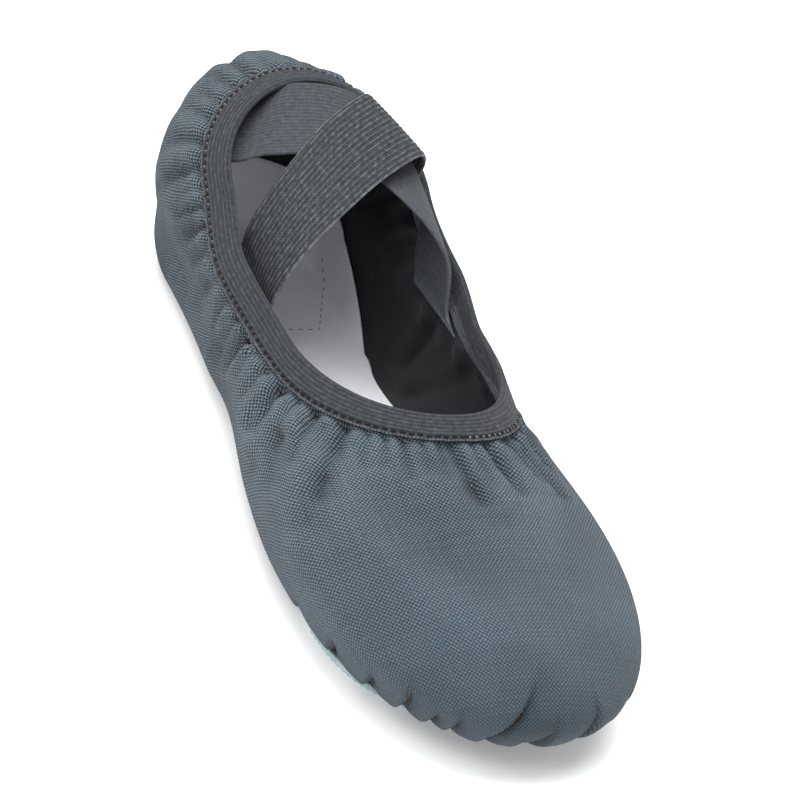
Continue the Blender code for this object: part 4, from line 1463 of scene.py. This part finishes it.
suede_stops = [(0.25, shown(140, 168, 170)), (0.5, shown(178, 204, 206)), (0.75, shown(206, 226, 227))]
suede = napped("aqua_suede", 2600.0, suede_stops, depth=0.0003, strength=0.7, sheen=0.25)
insole_stops = [(0.0, shown(180, 182, 188)), (0.5, shown(196, 198, 204)), (1.0, shown(210, 212, 218))]
insole_cloth = plain_cloth(
    "pale_insole_cloth", pitch=0.0005, wander=0.3, stops=insole_stops,
    depth=0.00012, strength=0.4, sheen=0.08,
)
print("leather and insole materials:", suede.name, insole_cloth.name)

# %% Suede soles
RING_COUNT = 44
RING_CROWDING = 1.5
OUTLINE_STRIDE = 3
STITCH_INSETS = (3.0, 6.4)
GROOVE_DEPTH = 0.28
GROOVE_WIDTH = 0.7
EDGE_ROUND = 0.55


def edge_rounding(inset):
    """How far a rounded edge draws in, by distance from the edge."""
    return EDGE_ROUND * (1.0 - np.sqrt(1.0 - np.clip(1.0 - inset / EDGE_ROUND, 0.0, 1.0) ** 2))


def sheet_piece(name, outline, grooves, base, thickness, finish_used):
    """A sheet cut to an outline, with a rounded edge and grooves pressed into its lower face."""
    middle = outline.mean(axis=0)
    spread = 1.0 - (1.0 - np.linspace(0.0, 1.0, RING_COUNT)) ** RING_CROWDING
    flat = middle + (outline[:, None] - middle) * spread[None, 1:, None]
    border = outline[None, None, ::OUTLINE_STRIDE]
    inset = np.linalg.norm(flat[:, :, None] - border, axis=-1).min(axis=2)
    rounding = edge_rounding(inset)
    pressed = np.zeros_like(inset)
    for line in grooves:
        gap = np.linalg.norm(flat[:, :, None] - line[None, None], axis=-1).min(axis=2)
        pressed = np.maximum(pressed, GROOVE_DEPTH * np.exp(-((gap / GROOVE_WIDTH) ** 2)))
    ground = base + floor_lift(flat[..., 1])
    low = ground + rounding + pressed
    high = ground + thickness - rounding
    around, rings = flat.shape[:2]
    lower = np.concatenate([flat, low[..., None]], -1)
    upper_face = np.concatenate([flat, high[..., None]], -1)
    centre_lift = base + float(floor_lift(middle[1]))
    ends = np.array([[*middle, centre_lift], [*middle, centre_lift + thickness]])
    points = np.concatenate([lower.reshape(-1, 3), upper_face.reshape(-1, 3), ends])
    low_index = np.arange(around * rings).reshape(around, rings)
    high_index = low_index + around * rings
    faces = [tuple(f) for f in grid_faces(low_index, close_rows=True)]
    faces += [tuple(f[::-1]) for f in grid_faces(high_index, close_rows=True)]
    turned = np.roll(np.arange(around), -1)
    last = rings - 1
    low_end, high_end = len(points) - 2, len(points) - 1
    for i, n in enumerate(turned):
        faces.append((low_index[i, last], low_index[n, last], high_index[n, last], high_index[i, last]))
        faces.append((low_end, low_index[n, 0], low_index[i, 0]))
        faces.append((high_end, high_index[i, 0], high_index[n, 0]))
    corner_map = np.concatenate([points[list(f), :2] for f in faces])
    return new_piece(name, points, faces, [finish_used], corner_map)


soles = {}
for name in SOLES:
    rows = [sole_outline(name, inset) for inset in STITCH_INSETS]
    soles[name] = sheet_piece("suede_" + name, sole_outline(name), rows, 0.0, SUEDE, suede)
    settle(soles[name], "suede", name)
print("suede soles:", sorted(soles))

# %% [markdown]
# The insole.
# It is a soft padded sock: flat under the foot, and turned up against the wall round the heel, where
# the pale cloth shows between the straps. Its edge follows the ribs of the canvas, so the upturn
# lies against the lining.

# %% Insole shape
INSOLE_STRIDE = 2
FLAT_RINGS = 26
SKIRT_RINGS = 18
# share along the shoe, and where the edge lies: below 0 inside the feather line, over 0 up the wall
INSOLE_EDGE = (
    (0.0, -6.0), (0.55, -6.0), (0.60, -5.7), (0.63, -3.0), (0.66, 1.5), (0.69, 8.5),
    (0.72, 13.0), (0.75, 17.0), (0.80, 20.0), (0.86, 21.0), (1.0, 20.0),
)
SKIRT_START = -3.0
SKIRT_LEAST = 1.5
EDGE_SOFTNESS = 0.035
EDGE_SAMPLES = 9
BEND_ROUNDS = 12
FLAT_SPINE = (-42.0, 62.0)
MAP_SPINE = (-40.0, 60.0)
insole_base = SUEDE + GAP + CANVAS + GAP


def on_rib(i, heights):
    """Points and normals of the smooth canvas at heights along one rib."""
    point = np.stack([np.interp(heights, height[i], bare[i, :, k]) for k in range(3)], -1)
    normal = np.stack([np.interp(heights, height[i], facing[i, :, k]) for k in range(3)], -1)
    return point, unit(normal)


def soften(rows):
    """Round the bend where the flat part turns up, with both ends of each row kept."""
    for _ in range(BEND_ROUNDS):
        rows[:, 1:-1] = (rows[:, :-2] + 2.0 * rows[:, 1:-1] + rows[:, 2:]) / 4.0
    return rows


def insole_rings():
    """Lower and upper points of the insole, rib by rib, and the flat map of its cloth."""
    edge_share, edge_height = np.array(INSOLE_EDGE).T
    lows, highs, maps = [], [], []
    order = np.arange(0, len(share), INSOLE_STRIDE)
    for i in order:
        near = share[i] + np.linspace(-EDGE_SOFTNESS, EDGE_SOFTNESS, EDGE_SAMPLES)
        top_edge = float(np.interp(near, edge_share, edge_height).mean())
        start = min(SKIRT_START, top_edge - SKIRT_LEAST)
        rows = np.linspace(start, top_edge, SKIRT_RINGS)
        point, normal = on_rib(i, rows)
        rounding = edge_rounding(top_edge - rows)
        low = point - normal * (CANVAS + GAP + rounding)[:, None]
        high = point - normal * (CANVAS + GAP + INSOLE - rounding)[:, None]
        outward = unit(point[0, :2] - np.array([0.0, np.clip(point[0, 1], *MAP_SPINE)]))
        lows.append(low)
        highs.append(high)
        maps.append(point[0, :2] + outward * (rows - start)[:, None])
    lows, highs, maps = np.array(lows), np.array(highs), np.array(maps)
    spine = np.stack([np.zeros(len(order)), np.clip(lows[:, 0, 1], *FLAT_SPINE)], -1)
    spread = np.linspace(0.0, 1.0, FLAT_RINGS, endpoint=False)
    flat = spine[:, None] + (lows[:, 0, :2] - spine)[:, None] * spread[None, :, None]
    ground = insole_base + floor_lift(flat[..., 1])
    lows = np.concatenate([np.concatenate([flat, ground[..., None]], -1), lows], 1)
    highs = np.concatenate([np.concatenate([flat, ground[..., None] + INSOLE], -1), highs], 1)
    return soften(lows), soften(highs), np.concatenate([flat, maps], 1)


print("insole turned up at the back, mm:", INSOLE_EDGE[-1][1])

# %% Insole
MERGE_GAP = 0.02
LEAST_EDGE = 0.01


def merge_spine(piece):
    """Join the points where the fan of rings meets on the middle line."""
    grid = bmesh.new()
    grid.from_mesh(piece.data)
    bmesh.ops.remove_doubles(grid, verts=grid.verts[:], dist=MERGE_GAP * MM)
    bmesh.ops.dissolve_degenerate(grid, dist=LEAST_EDGE * MM, edges=grid.edges[:])
    grid.to_mesh(piece.data)
    grid.free()


def insole_piece():
    """The insole as one closed skin."""
    lows, highs, maps = insole_rings()
    around, rings = lows.shape[:2]
    points = np.concatenate([lows.reshape(-1, 3), highs.reshape(-1, 3)])
    low_index = np.arange(around * rings).reshape(around, rings)
    high_index = low_index + around * rings
    faces = np.concatenate([
        grid_faces(low_index, close_rows=True),
        grid_faces(high_index, close_rows=True)[:, ::-1],
        rim(low_index[:, -1], high_index[:, -1]),
    ])
    flat_map = np.concatenate([maps.reshape(-1, 2)] * 2)
    piece = new_piece("insole_sock", points, faces, [insole_cloth], flat_map[faces].reshape(-1, 2))
    merge_spine(piece)
    return piece


insole = insole_piece()
settle(insole, "insole", "insole")

# %% [markdown]
# Stitches.
# A lockstitch is a row of short thread lengths with a needle hole between each two; each hole is a
# dark thread shape, painted shade. It repeats along a path, so Geometry Nodes make it: the path becomes
# evenly spaced points, and each point gets one small thread shape turned along the path. Named inputs set
# the spacing and the sizes.


# %% Stitch tree
STITCH_SEGMENTS = 8
STITCH_RINGS = 5
PATH_END = 10.0


def build_stitch_tree():
    """Small thread shapes, evenly spaced along a path."""
    tree = bpy.data.node_groups.new("stitch_row", "GeometryNodeTree")
    face = tree.interface
    face.new_socket("Geometry", in_out="INPUT", socket_type="NodeSocketGeometry")
    for name in ("Spacing", "Length", "Thickness", "Start"):
        face.new_socket(name, in_out="INPUT", socket_type=FLOAT)
    face.new_socket("Thread", in_out="INPUT", socket_type="NodeSocketMaterial")
    face.new_socket("Geometry", in_out="OUTPUT", socket_type="NodeSocketGeometry")
    given = tree.nodes.new("NodeGroupInput").outputs
    result = tree.nodes.new("NodeGroupOutput")
    path = node(tree, "GeometryNodeMeshToCurve", {"Mesh": given["Geometry"]})
    trimmed = node(tree, "GeometryNodeTrimCurve", {"Curve": path.outputs[0]}, mode="LENGTH")
    tree.links.new(given["Start"], trimmed.inputs[4])
    trimmed.inputs[5].default_value = PATH_END
    spaced = {"Curve": trimmed.outputs[0], "Length": given["Spacing"]}
    spots = node(tree, "GeometryNodeCurveToPoints", spaced, mode="LENGTH")
    ball = {"Segments": STITCH_SEGMENTS, "Rings": STITCH_RINGS, "Radius": 0.5}
    shape = node(tree, "GeometryNodeMeshUVSphere", ball)
    thick = given["Thickness"]
    size = node(tree, "ShaderNodeCombineXYZ", {0: thick, 1: thick, 2: given["Length"]})
    placed = node(tree, "GeometryNodeInstanceOnPoints", {
        "Points": spots.outputs["Points"],
        "Instance": shape.outputs[0],
        "Rotation": spots.outputs["Rotation"],
        "Scale": size.outputs[0],
    })
    real = node(tree, "GeometryNodeRealizeInstances", {0: placed.outputs[0]})
    soft = node(tree, "GeometryNodeSetShadeSmooth", {0: real.outputs[0]})
    coloured = node(tree, "GeometryNodeSetMaterial", {0: soft.outputs[0], "Material": given["Thread"]})
    tree.links.new(coloured.outputs[0], result.inputs[0])
    return tree


stitch_tree = build_stitch_tree()
print("stitch tree nodes:", len(stitch_tree.nodes))


# %% Stitches along a path
def stitch_row(name, paths, spacing, size, start, thread):
    """Stitches along closed or open paths in millimetres, as one plain mesh."""
    points, edges = [], []
    for path, closed in paths:
        first = len(points)
        points += (path * MM).tolist()
        edges += [(first + k, first + k + 1) for k in range(len(path) - 1)]
        if closed:
            edges.append((len(points) - 1, first))
    guide_mesh = bpy.data.meshes.new(name + "_path")
    guide_mesh.from_pydata(points, edges, [])
    guide = bpy.data.objects.new(name + "_path", guide_mesh)
    bpy.context.scene.collection.objects.link(guide)
    rows = guide.modifiers.new("stitches", "NODES")
    rows.node_group = stitch_tree
    lengths = {"Spacing": spacing, "Length": size[0], "Thickness": size[1], "Start": start}
    values = {key: value * MM for key, value in lengths.items()}
    values["Thread"] = thread
    for item in stitch_tree.interface.items_tree:
        if item.in_out == "INPUT" and item.name in values:
            rows[item.identifier] = values[item.name]
    ready = guide.evaluated_get(bpy.context.evaluated_depsgraph_get())
    mesh = bpy.data.meshes.new_from_object(ready)
    mesh.name = name
    bpy.data.objects.remove(guide, do_unlink=True)
    piece = bpy.data.objects.new(name, mesh)
    bpy.context.scene.collection.objects.link(piece)
    print(name, "paths:", len(paths))
    return piece


# %% Thread materials
TWIST_SCALE = 2500.0
THREAD_ROUGHNESS = 0.7


def spun_thread(name, dark, light, sheen=0.1):
    """Thread with light and dark twists, also used for the painted shade of the needle holes."""
    parts = new_material(name)
    tree = parts[1]
    spot = node(tree, "ShaderNodeTexCoord").outputs["Object"]
    twist = node(tree, "ShaderNodeTexNoise", {"Vector": spot, "Scale": TWIST_SCALE, "Detail": 2.0})
    colour = ramp(tree, twist.outputs[0], [(0.3, dark), (0.7, light)])
    return finish(parts, colour, twist.outputs[0], 0.0001, 0.5, THREAD_ROUGHNESS, sheen)


tape_thread = spun_thread("tape_thread", shown(84, 82, 81), shown(108, 105, 103))
# needle holes are near-black shapes with no sheen: painted shade in the holes of the tape
hole_shade = spun_thread("needle_hole_shade", shown(5, 5, 6), shown(14, 15, 17), sheen=0.0)
sole_thread = spun_thread("sole_thread", shown(205, 216, 216), shown(236, 242, 242))
# dark teal shapes between the sole stitches: painted shade in the holes of the suede
sole_hole_shade = spun_thread("sole_needle_hole_shade", shown(74, 100, 104), shown(96, 122, 126))
insole_thread = spun_thread("insole_thread", shown(104, 107, 112), shown(136, 139, 144))
print("threads:", tape_thread.name, sole_thread.name, insole_thread.name)

# %% Rows of stitches
TAPE_SPACING = 1.8
SOLE_SPACING = 2.4
SOLE_ROW_LIFT = 0.28
# length and thickness of one stitch or needle hole
TAPE_STITCH = (0.9, 0.55)
TAPE_HOLE = (1.25, 0.75)
SOLE_STITCH = (1.5, 0.5)
SOLE_HOLE = (0.8, 0.45)
tape_path = [(tape_seam, True)]
tape_stitches = stitch_row("tape_stitches", tape_path, TAPE_SPACING, TAPE_STITCH, 0.0, tape_thread)
tape_hole_shading = stitch_row(
    "tape_needle_hole_shade", tape_path, TAPE_SPACING, TAPE_HOLE, TAPE_SPACING / 2, hole_shade
)
settle(tape_stitches, "binding")
settle(tape_hole_shading, "binding")


def on_ground(line, height):
    """A flat line set at a height over the underside."""
    return np.column_stack([line, height + floor_lift(line[:, 1])])


sole_lines = [sole_outline(name, inset) for name in SOLES for inset in STITCH_INSETS]
sole_rows = [(on_ground(line, SOLE_ROW_LIFT), True) for line in sole_lines]
sole_stitches = stitch_row("sole_stitches", sole_rows, SOLE_SPACING, SOLE_STITCH, 0.0, sole_thread)
sole_hole_shading = stitch_row(
    "sole_needle_hole_shade", sole_rows, SOLE_SPACING, SOLE_HOLE, SOLE_SPACING / 2, sole_hole_shade
)
settle(sole_stitches, "suede")
settle(sole_hole_shading, "suede")

# %% Stitch row on the insole
PATCH_LINE = ((-18.4, 64.0), (-17.5, 58.2), (-10.2, 43.6), (10.2, 43.6), (17.5, 58.2), (18.4, 64.0))
PATCH_STEP = 0.5
PATCH_STITCH = (1.3, 0.35)
insole_skin = BVHTree.FromPolygons(
    [v.co / MM for v in insole.data.vertices], [list(p.vertices) for p in insole.data.polygons]
)


def on_insole(line):
    """A flat line dropped from above onto the insole."""
    found = [insole_skin.ray_cast(Vector((x, y, HEEL_HEIGHT)), Vector((0, 0, -1)))[0] for x, y in line]
    return np.array([spot for spot in found if spot is not None])


patch = np.array(PATCH_LINE)
heel_patch = on_insole(along_line(patch, np.arange(0.0, reached(patch)[-1], PATCH_STEP)))
insole_stitches = stitch_row(
    "insole_stitches", [(heel_patch, False)], SOLE_SPACING, PATCH_STITCH, 0.0, insole_thread
)
settle(insole_stitches, "insole")
